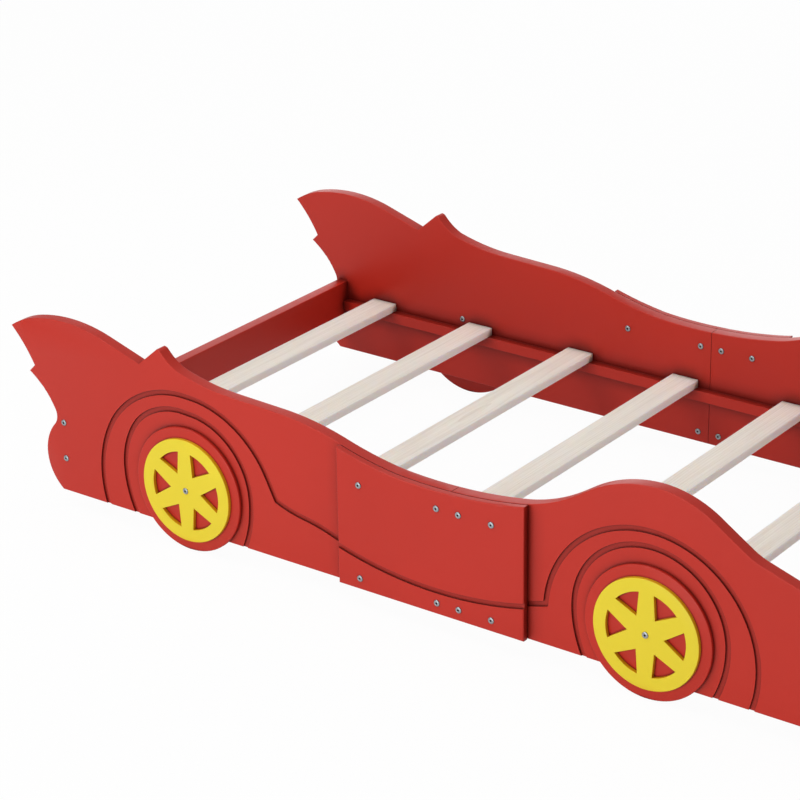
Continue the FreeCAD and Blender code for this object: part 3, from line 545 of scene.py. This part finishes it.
@dataclass(frozen=True)
class WoodFinish:
    """Planed softwood under a thin white stain, with rings that show at the ends.

    It reads two attributes of the slats: where each one's pith ran in the tree, and how far
    a face turns from the level. Upright faces are painted paler, as painted light on the
    slats' sides. The dowels have neither attribute, so theirs read as zero.
    """

    name: str
    pith_attribute: str = "pith"
    upright_attribute: str = "upright"
    early: Rgb = (0.930, 0.880, 0.805)
    late: Rgb = (0.700, 0.615, 0.525)
    # Colour of the pores, also used for the shade painted into hollows.
    pore_and_shade: Rgb = (0.52, 0.43, 0.34)
    # Paler colour painted on upright faces, as painted light.
    upright_painted_light: Rgb = (1.0, 0.970, 0.900)
    ring_width: float = 5.5 * MM
    ring_sharpness: float = 3.0
    ring_shares: Band = (0.16, 0.55)
    sway_width: float = 34 * MM
    sway_stretch: Xyz = (9.0, 1.1, 9.0)
    fibre_stretch: Xyz = (1.0, 0.025, 1.0)
    sway: Speckle = Speckle(1.0, 2.0)
    patch: Speckle = Speckle(2.3, 2.0)
    streak: Speckle = Speckle(170.0, 5.0, 0.65)
    streak_band: Band = (0.42, 0.72)
    streak_shares: Band = (0.0, 0.46)
    pores: Speckle = Speckle(1300.0, 2.0, 0.6)
    pore_band: Band = (0.62, 0.78)
    pore_shares: Band = (0.0, 0.42)
    hollows: Hollows = Hollows(22 * MM, open_from=0.98, shut_below=0.5)
    roughness: float = 0.62
    smoother: float = 0.06
    rougher: float = 0.08
    specular: float = 0.35
    scatter_share: float = 1.0
    scatter_radius: Rgb = (1.0, 0.8, 0.6)
    scatter_depth: float = 20 * MM
    broken_edge: float = 0.6 * MM
    edge_samples: int = 4
    streak_height: float = 0.6
    pore_height: float = 1.2
    grain_strength: float = 0.5
    grain_depth: float = 0.12 * MM

    def rings(self, graph: Graph, place: Socket) -> Socket:
        """Draw the year rings.

        Args:
            graph: The material's tree.
            place: Where a point lies from its slat's pith.

        Returns:
            How dark the late wood is there.
        """
        along = graph.vector("MULTIPLY", place, self.sway_stretch)
        sway = graph.math("SUBTRACT", graph.noise(along, self.sway), 0.5)
        across = graph.vector("LENGTH", graph.vector("MULTIPLY", place, (1.0, 0.0, 1.0)))
        radius = graph.math("ADD", across, graph.math("MULTIPLY", sway, self.sway_width))
        ring = graph.math("FRACT", graph.math("DIVIDE", radius, self.ring_width))
        late = graph.math("POWER", ring, self.ring_sharpness)
        patch = graph.span(graph.noise(along, self.patch), MOST_OF_NOISE, self.ring_shares)
        return graph.math("MULTIPLY", late, patch)

    def build(self, mask: bpy.types.NodeTree) -> bpy.types.Material:
        """Make the material.

        Args:
            mask: The shared group that masks grooves and corners.

        Returns:
            The wood's material.
        """
        material, graph = new_material(self.name)
        output = graph.node("ShaderNodeOutputMaterial")
        wood = graph.node("ShaderNodeBsdfPrincipled")
        pith = graph.node("ShaderNodeAttribute", attribute_name=self.pith_attribute)
        upright = graph.node("ShaderNodeAttribute", attribute_name=self.upright_attribute)
        point = graph.node("ShaderNodeTexCoord").outputs["Object"]
        place = graph.vector("SUBTRACT", point, pith.outputs["Vector"])
        fibre_place = graph.vector("MULTIPLY", place, self.fibre_stretch)
        streak = graph.noise(fibre_place, self.streak)
        streaks = graph.span(streak, self.streak_band, self.streak_shares)
        pores = graph.span(graph.noise(fibre_place, self.pores), self.pore_band, self.pore_shares)
        grain = graph.blend(self.rings(graph, place), rgba(self.early), rgba(self.late))
        grain = graph.blend(streaks, grain, rgba(self.late))
        grain = graph.blend(pores, grain, rgba(self.pore_and_shade))
        # Painted light: upright faces are blended paler, so the slats' sides look lit.
        grain = graph.blend(upright.outputs["Fac"], grain, rgba(self.upright_painted_light))
        # Painted shade: hollows and contacts take the dark pore colour.
        color = graph.blend(graph.hollow(mask, self.hollows), grain, rgba(self.pore_and_shade))
        spread = (self.roughness + self.rougher, self.roughness - self.smoother)
        rough = graph.span(streak, MOST_OF_NOISE, spread)
        raised = graph.math("MULTIPLY", streak, self.streak_height)
        height = graph.math("SUBTRACT", raised, graph.math("MULTIPLY", pores, self.pore_height))
        fibres = graph.bump(height, self.grain_strength, self.grain_depth)
        graph.set(fibres, Normal=graph.rounded(self.broken_edge, self.edge_samples))
        graph.set(wood, Base_Color=color, Roughness=rough, Normal=fibres.outputs["Normal"])
        graph.set(wood, Specular_IOR_Level=self.specular)
        graph.set(
            wood, Subsurface_Weight=self.scatter_share, Subsurface_Radius=self.scatter_radius,
            Subsurface_Scale=self.scatter_depth,
        )
        graph.set(output, Surface=wood.outputs["BSDF"])
        return material


@dataclass(frozen=True)
class ZincFinish:
    """Bright zinc plating on steel, a little blotchy, with shade painted into its sockets."""

    name: str
    color: Rgb = (0.39, 0.43, 0.46)
    # Near-black colour of the shade painted into sockets.
    socket_shade: Rgb = (0.02, 0.021, 0.024)
    blotch: Speckle = Speckle(420.0, 4.0, 0.6)
    blotch_band: Band = (0.35, 0.65)
    blotch_shade: float = 0.86
    hollows: Hollows = Hollows(5 * MM, open_from=0.93, shut_below=0.74)
    roughness: float = 0.34
    smoother: float = 0.06
    rougher: float = 0.10
    pitting: Speckle = Speckle(2600.0, 2.0)
    pit_strength: float = 0.2
    pit_depth: float = 0.02 * MM

    def build(self, mask: bpy.types.NodeTree) -> bpy.types.Material:
        """Make the material.

        Args:
            mask: The shared group that masks grooves and corners.

        Returns:
            The plating's material.
        """
        material, graph = new_material(self.name)
        output = graph.node("ShaderNodeOutputMaterial")
        metal = graph.node("ShaderNodeBsdfPrincipled")
        place = graph.node("ShaderNodeTexCoord").outputs["Object"]
        blotch = graph.noise(place, self.blotch)
        plating = graph.blend(
            graph.span(blotch, self.blotch_band, UNIT),
            rgba(shade(self.color, self.blotch_shade)),
            rgba(self.color),
        )
        # Painted shade: sockets and other hollows are blended towards near black.
        color = graph.blend(graph.hollow(mask, self.hollows), plating, rgba(self.socket_shade))
        spread = (self.roughness - self.smoother, self.roughness + self.rougher)
        rough = graph.span(blotch, MOST_OF_NOISE, spread)
        pits = graph.bump(graph.noise(place, self.pitting), self.pit_strength, self.pit_depth)
        graph.set(metal, Base_Color=color, Roughness=rough, Normal=pits.outputs["Normal"])
        graph.set(metal, Metallic=1.0)
        graph.set(output, Surface=metal.outputs["BSDF"])
        return material


@dataclass(frozen=True)
class Finishes:
    """The materials of the bed: one for each slot, and the tyres' own red."""

    by_slot: dict[Slot, bpy.types.Material]
    tyre: bpy.types.Material

    @classmethod
    def build(cls) -> "Finishes":
        """Make every finish once.

        Returns:
            The finishes that the pieces are dressed in.
        """
        coat = SprayedCoat().build()
        mask = painted_shade_mask()
        # The boards' painted shade is a little darker than the default.
        red = PaintFinish("red_satin", RED_PAINT, hollow_shade=0.32)
        # The tyres' painted shade reaches only a short way from each step.
        near_rays = Hollows(7 * MM, open_from=0.90, shut_below=0.50)
        tyre = PaintFinish("red_satin_tyre", RED_PAINT, hollows=near_rays)
        # The hubs' hollows are painted with a golden shade.
        yellow = PaintFinish("yellow_satin", YELLOW_PAINT, roughness=0.36, shade_color=GOLDEN_SHADE)
        by_slot = {
            Slot.RED: red.build(coat, mask),
            Slot.YELLOW: yellow.build(coat, mask),
            Slot.WOOD: WoodFinish("whitened_softwood").build(mask),
            Slot.ZINC: ZincFinish("bright_zinc").build(mask),
        }
        return cls(by_slot=by_slot, tyre=tyre.build(coat, mask))

    def of(self, slot: Slot) -> bpy.types.Material:
        """Return the material of a slot."""
        return self.by_slot[slot]


# ---- painted boards and wheels -------------------------------------------


@dataclass
class PaintedBoard:
    """One painted piece, whose solid has its true form.

    Its hidden face may be eased, and it may have a material other than its slot's own.
    """

    node: str
    slot: Slot
    finishes: Finishes
    eased_back: float = 0.0
    material: bpy.types.Material | None = None

    def build(self) -> bpy.types.Object:
        """Dress the piece.

        Returns:
            The piece that is shown in place of its solid.
        """
        mesh = merged_copy(self.node, f"{self.node}_mesh")
        if self.eased_back:
            ease_back(mesh, self.eased_back)
        crease(mesh)
        mesh.materials.append(self.material or self.finishes.of(self.slot))
        piece = new_mesh_object(f"{self.node}_painted", mesh)
        finish_piece(piece, self.slot, self.node)
        return piece


@dataclass
class BodyShell:
    """The painted carcase: side panels, door plates, slat rails and end boards."""

    finishes: Finishes
    plate_easing: float = 2.4 * MM

    def nodes(self) -> list[str]:
        """List the carcase's boards.

        Returns:
            Their nodes, first those of each side and then the end boards.
        """
        sided = ("panel_rear", "panel_front", "door_plate", "slat_rail")
        boards = [f"{name}_{side}" for side in SIDES for name in sided]
        return boards + [f"{end}_board" for end in ENDS]

    def build(self) -> None:
        """Dress every board."""
        for node in self.nodes():
            easing = self.plate_easing if node.startswith("door_plate") else 0.0
            PaintedBoard(node, Slot.RED, self.finishes, eased_back=easing).build()


@dataclass
class Wheels:
    """Flat wheels: a red tyre disc with a yellow hub on it."""

    finishes: Finishes

    def build(self) -> None:
        """Dress the tyres and hubs."""
        for side in SIDES:
            for end in ENDS:
                tyre, hub = f"tyre_{end}_{side}", f"hub_{end}_{side}"
                PaintedBoard(tyre, Slot.RED, self.finishes, material=self.finishes.tyre).build()
                PaintedBoard(hub, Slot.YELLOW, self.finishes).build()


# ---- slats ---------------------------------------------------------------


class GeometryGraph(Graph):
    """A geometry node tree with named inputs, ending in a real mesh with a material."""

    def __init__(self, name: str, inputs: dict[str, str]) -> None:
        """Start the tree.

        Args:
            name: The tree's name.
            inputs: Input names with their socket types, after the geometry.
        """
        super().__init__(bpy.data.node_groups.new(name, "GeometryNodeTree"))
        sockets = self.tree.interface
        for way in ("INPUT", "OUTPUT"):
            sockets.new_socket("Geometry", in_out=way, socket_type="NodeSocketGeometry")
        for label, kind in inputs.items():
            sockets.new_socket(label, in_out="INPUT", socket_type=kind)
        self.given = self.node("NodeGroupInput").outputs
        self.output = self.node("NodeGroupOutput")

    def end(self, geometry: Socket) -> None:
        """Turn instances into a mesh, give it the material and hand it out.

        Args:
            geometry: The instances.
        """
        real = self.node("GeometryNodeRealizeInstances")
        dress = self.node("GeometryNodeSetMaterial")
        self.set(real, Geometry=geometry)
        self.set(dress, Geometry=real.outputs["Geometry"], Material=self.given["Material"])
        self.set(self.output, Geometry=dress.outputs["Geometry"])

    def run(self, start: bpy.types.Mesh, name: str, values: dict[str, object]) -> bpy.types.Mesh:
        """Evaluate the tree.

        Args:
            start: The mesh that it starts from.
            name: Name of the result.
            values: Input names with their values.

        Returns:
            The result as a plain mesh.
        """
        host = new_mesh_object(f"{name}_host", start)
        modifier = host.modifiers.new("nodes", "NODES")
        modifier.node_group = self.tree
        for item in self.tree.interface.items_tree:
            if item.in_out == "INPUT" and item.name in values:
                modifier[item.identifier] = values[item.name]
        host.update_tag()
        bpy.context.view_layer.update()
        evaluated = host.evaluated_get(bpy.context.evaluated_depsgraph_get())
        mesh = bpy.data.meshes.new_from_object(evaluated)
        mesh.name = name
        host.modifiers.clear()
        bpy.data.objects.remove(host)
        return mesh


@dataclass
class SlatBase:
    """The row of equal slats that carries the mattress.

    Each slat's pith lies by chance within a half run to either side of the bed's middle line,
    and below the slats' tops by a depth between the nearest and the deepest.
    """

    finishes: Finishes
    arris: float = 1.6 * MM
    arris_steps: int = 4
    crease_angle: float = math.radians(50)
    seed: int = 11
    pith_half_run: float = 0.5
    pith_deepest: float = 0.15
    pith_nearest: float = 0.05

    def nodes(self) -> list[str]:
        """Return the slats' nodes, from the tail to the nose."""
        return sorted(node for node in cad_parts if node.removeprefix("slat_").isdigit())

    def slat(self, graph: GeometryGraph) -> Socket:
        """Sweep one slat and note how upright each of its faces stands.

        Args:
            graph: The tree, with the slat's sizes among its inputs.

        Returns:
            The slat's mesh.
        """
        given = graph.given
        section = graph.node("GeometryNodeCurvePrimitiveQuadrilateral", mode="RECTANGLE")
        graph.set(section, Width=given["Width"], Height=given["Thickness"])
        soften = graph.node("GeometryNodeFilletCurve", mode="POLY")
        graph.set(
            soften, Count=self.arris_steps, Curve=section.outputs["Curve"], Radius=given["Arris"]
        )
        line = graph.node("GeometryNodeCurvePrimitiveLine")
        for label, share in (("Start", -0.5), ("End", 0.5)):
            end = graph.node("ShaderNodeCombineXYZ")
            graph.set(end, Y=graph.math("MULTIPLY", given["Length"], share))
            graph.wire(end.outputs["Vector"], line.inputs[label])
        sweep = graph.node("GeometryNodeCurveToMesh")
        graph.set(
            sweep, Curve=line.outputs["Curve"], Profile_Curve=soften.outputs["Curve"],
            Fill_Caps=True,
        )
        normal = graph.node("ShaderNodeSeparateXYZ")
        graph.set(normal, Vector=graph.node("GeometryNodeInputNormal").outputs["Normal"])
        level = graph.math("ABSOLUTE", normal.outputs["Z"])
        # How upright each face stands; the wood paints light on upright faces by it.
        upright = graph.node("GeometryNodeStoreNamedAttribute", data_type="FLOAT", domain="FACE")
        graph.set(
            upright, Name=WoodFinish.upright_attribute, Geometry=sweep.outputs["Mesh"],
            Value=graph.math("SUBTRACT", 1.0, level),
        )
        return upright.outputs["Geometry"]

    def tree(self) -> GeometryGraph:
        """Build the tree that repeats a slat along the bed, each from its own place in a log.

        Returns:
            The tree, with its sizes as named inputs.
        """
        graph = GeometryGraph("slat_row", {
            "Length": "NodeSocketFloat",
            "Width": "NodeSocketFloat",
            "Thickness": "NodeSocketFloat",
            "Arris": "NodeSocketFloat",
            "Seed": "NodeSocketInt",
            "Pith Low": "NodeSocketVector",
            "Pith High": "NodeSocketVector",
            "Material": "NodeSocketMaterial",
        })
        given = graph.given
        spread = graph.node("GeometryNodeInstanceOnPoints")
        graph.set(spread, Points=given["Geometry"], Instance=self.slat(graph))
        pith = graph.node("FunctionNodeRandomValue", data_type="FLOAT_VECTOR")
        graph.set(pith, Min=given["Pith Low"], Max=given["Pith High"], Seed=given["Seed"])
        keep = graph.node(
            "GeometryNodeStoreNamedAttribute", data_type="FLOAT_VECTOR", domain="INSTANCE"
        )
        graph.set(
            keep, Name=WoodFinish.pith_attribute, Geometry=spread.outputs["Instances"],
            Value=pith.outputs["Value"],
        )
        graph.end(keep.outputs["Geometry"])
        return graph

    def build(self) -> bpy.types.Object:
        """Make the slats where their solids lie.

        Returns:
            The row of slats as one piece.
        """
        boxes = [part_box(node) for node in self.nodes()]
        middles = [(low + high) / 2 for low, high in boxes]
        size = boxes[0][1] - boxes[0][0]
        points = bpy.data.meshes.new("slat_places")
        points.from_pydata([tuple(middle) for middle in middles], [], [])
        top = boxes[0][1].z
        mesh = self.tree().run(points, "slats_mesh", {
            "Length": size.y,
            "Width": size.x,
            "Thickness": size.z,
            "Arris": self.arris,
            "Seed": self.seed,
            "Pith Low": (boxes[0][0].x, -self.pith_half_run, top - self.pith_deepest),
            "Pith High": (boxes[-1][1].x, self.pith_half_run, top - self.pith_nearest),
            "Material": self.finishes.of(Slot.WOOD),
        })
        crease(mesh, self.crease_angle)
        piece = new_mesh_object("slats_planed", mesh)
        finish_piece(piece, Slot.WOOD, *self.nodes())
        return piece


# ---- fasteners -----------------------------------------------------------


def hexagon_reach(radius: float, turn: float) -> float:
    """Return how far out a hexagon's outline lies at a turn.

    Args:
        radius: Distance of its corners from its middle.
        turn: Angle from one of its corners.

    Returns:
        The outline's distance from the middle.
    """
    half_side = math.pi / 6
    return radius * math.cos(half_side) / math.cos(turn % (2 * half_side) - half_side)


@dataclass(frozen=True)
class FastenerKind:
    """One kind of fastener, by the name that its nodes start with."""

    name: str
    facing: Facing
    shank_radius: float
    head_radius: float = 7 * MM
    head_height: float = 2.2 * MM


@dataclass(frozen=True)
class TurnedFastener:
    """A fastener with a low domed head and a hexagon socket, drawn head up.

    The drill's point is given as shares of the socket's radius and depth, and the dome as
    shares of the head's radius and of its height, measured down from the crown.
    """

    kind: FastenerKind
    length: float
    segments: int = 24
    socket: float = 2.7 * MM
    socket_depth: float = 1.9 * MM
    drill_point: tuple[float, float] = (0.55, 1.15)
    mouth_depth: float = 0.25 * MM
    mouth_flare: float = 1.16
    mouth_lip: float = 0.02 * MM
    dome: tuple[tuple[float, float], ...] = (
        (0.50, 0.0), (0.66, 0.03), (0.82, 0.16), (0.93, 0.40), (1.0, 0.72),
    )
    tip_length: float = 0.8 * MM
    tip_easing: float = 0.6 * MM

    def profile(self) -> list[tuple[float, float, bool]]:
        """Draw the outline that is turned round the axis.

        Returns:
            Radius, height and whether the ring is six-sided, from the socket's floor over the
            head to the tip.
        """
        top = self.kind.head_height
        shank = self.kind.shank_radius
        tip = top - self.length
        point_out, point_down = self.drill_point
        socket = [
            (self.socket * point_out, top - self.socket_depth * point_down, False),
            (self.socket, top - self.socket_depth, True),
            (self.socket, top - self.mouth_depth, True),
            (self.socket * self.mouth_flare, top - self.mouth_lip, False),
        ]
        dome = [(self.kind.head_radius * out, top - top * down, False) for out, down in self.dome]
        stem = [
            (self.kind.head_radius, 0.0, False),
            (shank, 0.0, False),
            (shank, tip + self.tip_length, False),
            (shank - self.tip_easing, tip, False),
        ]
        return socket + dome + stem

    def build(self, name: str) -> bpy.types.Mesh:
        """Turn the profile round.

        Args:
            name: The mesh's name.

        Returns:
            A closed mesh with its head's underside at height zero.
        """
        work = bmesh.new()
        rings = []
        for radius, height, hexagonal in self.profile():
            ring = []
            for step in range(self.segments):
                turn = math.tau * step / self.segments
                reach = hexagon_reach(radius, turn) if hexagonal else radius
                place = (reach * math.cos(turn), reach * math.sin(turn), height)
                ring.append(work.verts.new(place))
            rings.append(ring)
        for upper, lower in zip(rings, rings[1:]):
            for step in range(self.segments):
                after = (step + 1) % self.segments
                work.faces.new((upper[step], lower[step], lower[after], upper[after]))
        work.faces.new(rings[0])
        work.faces.new(rings[-1][::-1])
        bmesh.ops.recalc_face_normals(work, faces=work.faces)
        mesh = bpy.data.meshes.new(name)
        work.to_mesh(mesh)
        work.free()
        crease(mesh)
        return mesh


@dataclass
class Fasteners:
    """Every bolt, nut and screw whose head shows.

    The random node's number sockets share their names with its vector sockets, so they are
    known by their places in its lists.
    """

    finishes: Finishes
    seed: int = 5
    float_min: int = 2
    float_max: int = 3
    float_value: int = 1
    kinds: tuple[FastenerKind, ...] = (
        FastenerKind("door_bolts", Facing.OUTWARDS, shank_radius=3 * MM),
        FastenerKind("end_bolts", Facing.OUTWARDS, shank_radius=3 * MM),
        FastenerKind("hub_screws", Facing.OUTWARDS, shank_radius=2 * MM),
        FastenerKind("tyre_screws", Facing.INWARDS, shank_radius=2 * MM),
        FastenerKind("sleeve_nuts", Facing.INWARDS, shank_radius=4.5 * MM),
    )

    def tree(self) -> GeometryGraph:
        """Build the tree that sets one fastener at each place, turned by chance.

        Returns:
            The tree, with its fastener and its directions as named inputs.
        """
        graph = GeometryGraph("fastener_row", {
            "Fastener": "NodeSocketObject",
            "Tilt": "NodeSocketVector",
            "Seed": "NodeSocketInt",
            "Material": "NodeSocketMaterial",
        })
        source = graph.node("GeometryNodeObjectInfo")
        graph.set(source, Object=graph.given["Fastener"])
        spin = graph.node("FunctionNodeRandomValue", data_type="FLOAT")
        graph.feed(spin.inputs[self.float_min], 0.0)
        graph.feed(spin.inputs[self.float_max], math.tau)
        graph.set(spin, Seed=graph.given["Seed"])
        about_own_axis = graph.node("ShaderNodeCombineXYZ")
        graph.set(about_own_axis, Z=spin.outputs[self.float_value])
        setting = graph.node("GeometryNodeInstanceOnPoints")
        graph.set(
            setting, Points=graph.given["Geometry"], Instance=source.outputs["Geometry"],
            Rotation=graph.given["Tilt"],
        )
        turned = graph.node("GeometryNodeRotateInstances")
        graph.set(
            turned, Instances=setting.outputs["Instances"],
            Rotation=about_own_axis.outputs["Vector"], Local_Space=True,
        )
        graph.end(turned.outputs["Instances"])
        return graph

    def set_group(self, graph: GeometryGraph, kind: FastenerKind, side: str) -> None:
        """Make one side's fasteners of a kind.

        Args:
            graph: The tree that sets them.
            kind: What they are.
            side: The side of the bed that they are on.
        """
        node = f"{kind.name}_{side}"
        boxes = islands(node)
        outwards = 1.0 if boxes[0][0].y > 0 else -1.0
        looks = outwards * kind.facing.value
        places = []
        for low, high in boxes:
            middle = (low + high) / 2
            crown = high.y if looks > 0 else low.y
            places.append((middle.x, crown - looks * kind.head_height, middle.z))
        form = TurnedFastener(kind, length=boxes[0][1].y - boxes[0][0].y)
        single = new_mesh_object(f"{node}_single", form.build(f"{node}_single"))
        points = bpy.data.meshes.new(f"{node}_places")
        points.from_pydata(places, [], [])
        mesh = graph.run(points, f"{node}_mesh", {
            "Fastener": single,
            "Tilt": (-looks * math.pi / 2, 0.0, 0.0),
            "Seed": self.seed,
            "Material": self.finishes.of(Slot.ZINC),
        })
        bpy.data.objects.remove(single)
        piece = new_mesh_object(f"{node}_plated", mesh)
        finish_piece(piece, Slot.ZINC, node)

    def build(self) -> None:
        """Make every group of fasteners."""
        graph = self.tree()
        for side in SIDES:
            for kind in self.kinds:
                self.set_group(graph, kind, side)


@dataclass
class HiddenFittings:
    """Cross nuts and dowels, which only show through their own holes."""

    finishes: Finishes

    def build(self) -> None:
        """Dress the solids themselves."""
        nuts = {f"cross_nuts_{end}": Slot.ZINC for end in ENDS}
        dowels = {f"rail_dowels_{side}": Slot.WOOD for side in SIDES}
        for node, slot in (nuts | dowels).items():
            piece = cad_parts[node]
            piece.data.materials.clear()
            piece.data.materials.append(self.finishes.of(slot))
            log.info("%s: dressed as it is", node)


# ---- studio --------------------------------------------------------------


@dataclass(frozen=True)
class Lamp:
    """A square soft lamp that looks at the bed's middle."""

    name: str
    shines_from: Xyz
    size: float
    power: float
    distance: float = 6.5

    def hang(self) -> None:
        """Put the lamp in the scene."""
        light = bpy.data.lights.new(self.name, "AREA")
        light.shape = "SQUARE"
        light.size = self.size
        light.energy = self.power
        lamp = bpy.data.objects.new(self.name, light)
        bpy.context.scene.collection.objects.link(lamp)
        away = Vector(self.shines_from).normalized()
        lamp.location = away * self.distance
        lamp.rotation_mode = "QUATERNION"
        lamp.rotation_quaternion = (-away).to_track_quat("-Z", "Y")


@dataclass
class Studio:
    """White ground and surroundings, soft lamps and the camera."""

    ground_size: float = 60.0
    room_light: float = 0.22
    glossy_share: float = 0.25
    ground_white: float = 0.92
    ground_glow: float = 0.96
    lamps: tuple[Lamp, ...] = (
        Lamp("key", (-0.50, -0.36, 0.79), 3.4, 135.0),
        Lamp("front", (-0.06, -0.97, 0.045), 4.4, 292.0),
        Lamp("overhead", (0.0, 0.0, 1.0), 5.0, 122.0),
        Lamp("nose", (0.78, 0.25, 0.57), 4.0, 36.0),
        Lamp("behind", (-0.50, 0.85, 0.14), 4.4, 80.0),
    )
    camera_place: Xyz = (2.9148, -4.5408, 2.6254)
    camera_look: Xyz = (-0.54562, 0.73951, -0.39424)
    camera_roll: float = -0.01507
    focal_pixels: float = 2740.5
    image_pixels: float = 800.0
    sensor_width: float = 36.0

    def white_to_camera(self, graph: Graph, plain: float, seen: float) -> Socket:
        """Tell the rays that look at the white surroundings from those that carry their light.

        Args:
            graph: The tree of the world or of the ground.
            plain: Value for the rays that carry light.
            seen: Value for camera and transmission rays. Glossy rays lie in between.

        Returns:
            The value for each ray.
        """
        rays = graph.node("ShaderNodeLightPath").outputs
        direct = graph.math("MAXIMUM", rays["Is Camera Ray"], rays["Is Transmission Ray"])
        glossy = graph.math("MULTIPLY", rays["Is Glossy Ray"], self.glossy_share)
        return graph.span(graph.math("MAXIMUM", direct, glossy), UNIT, (plain, seen))

    def build_world(self) -> None:
        """White surroundings that light the bed softly."""
        world = bpy.data.worlds.new("white_room")
        world.use_nodes = True
        graph = Graph(world.node_tree)
        output = graph.node("ShaderNodeOutputWorld")
        back = graph.node("ShaderNodeBackground")
        strength = self.white_to_camera(graph, plain=self.room_light, seen=1.0)
        graph.set(back, Color=rgba(WHITE), Strength=strength)
        graph.set(output, Surface=back.outputs["Background"])
        bpy.context.scene.world = world

    def build_ground(self) -> None:
        """White ground that keeps a faint shadow of the bed."""
        half = self.ground_size / 2
        mesh = bpy.data.meshes.new("ground")
        corners = [(-half, -half, 0), (half, -half, 0), (half, half, 0), (-half, half, 0)]
        mesh.from_pydata(corners, [], [(0, 1, 2, 3)])
        material, graph = new_material("white_ground")
        output = graph.node("ShaderNodeOutputMaterial")
        matt = graph.node("ShaderNodeBsdfDiffuse")
        graph.set(matt, Color=rgba(shade(WHITE, self.ground_white)))
        glow = graph.node("ShaderNodeEmission")
        graph.set(glow, Strength=1.0)
        mix = graph.node("ShaderNodeMixShader")
        graph.wire(self.white_to_camera(graph, plain=0.0, seen=self.ground_glow), mix.inputs["Fac"])
        graph.wire(matt.outputs["BSDF"], mix.inputs[1])
        graph.wire(glow.outputs["Emission"], mix.inputs[2])
        graph.set(output, Surface=mix.outputs["Shader"])
        mesh.materials.append(material)
        new_mesh_object("ground", mesh)

    def build_camera(self) -> None:
        """Camera where the photograph was taken from."""
        data = bpy.data.cameras.new("camera")
        data.sensor_width = self.sensor_width
        data.lens = self.focal_pixels / self.image_pixels * self.sensor_width
        camera = bpy.data.objects.new("camera", data)
        bpy.context.scene.collection.objects.link(camera)
        camera.location = self.camera_place
        level = Vector(self.camera_look).to_track_quat("-Z", "Y")
        camera.rotation_mode = "QUATERNION"
        camera.rotation_quaternion = level @ Quaternion((0, 0, 1), self.camera_roll)
        bpy.context.scene.camera = camera

    def build(self) -> None:
        """Set the whole studio up."""
        self.build_world()
        self.build_ground()
        for lamp in self.lamps:
            lamp.hang()
        self.build_camera()
        bpy.context.scene.view_settings.view_transform = "Standard"


def main() -> None:
    """Dress the bed and set up the studio."""
    logging.basicConfig(level=logging.INFO, format="%(name)s %(message)s")
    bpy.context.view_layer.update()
    finishes = Finishes.build()
    BodyShell(finishes).build()
    Wheels(finishes).build()
    SlatBase(finishes).build()
    Fasteners(finishes).build()
    HiddenFittings(finishes).build()
    Studio().build()


if __name__ == "__main__":
    main()
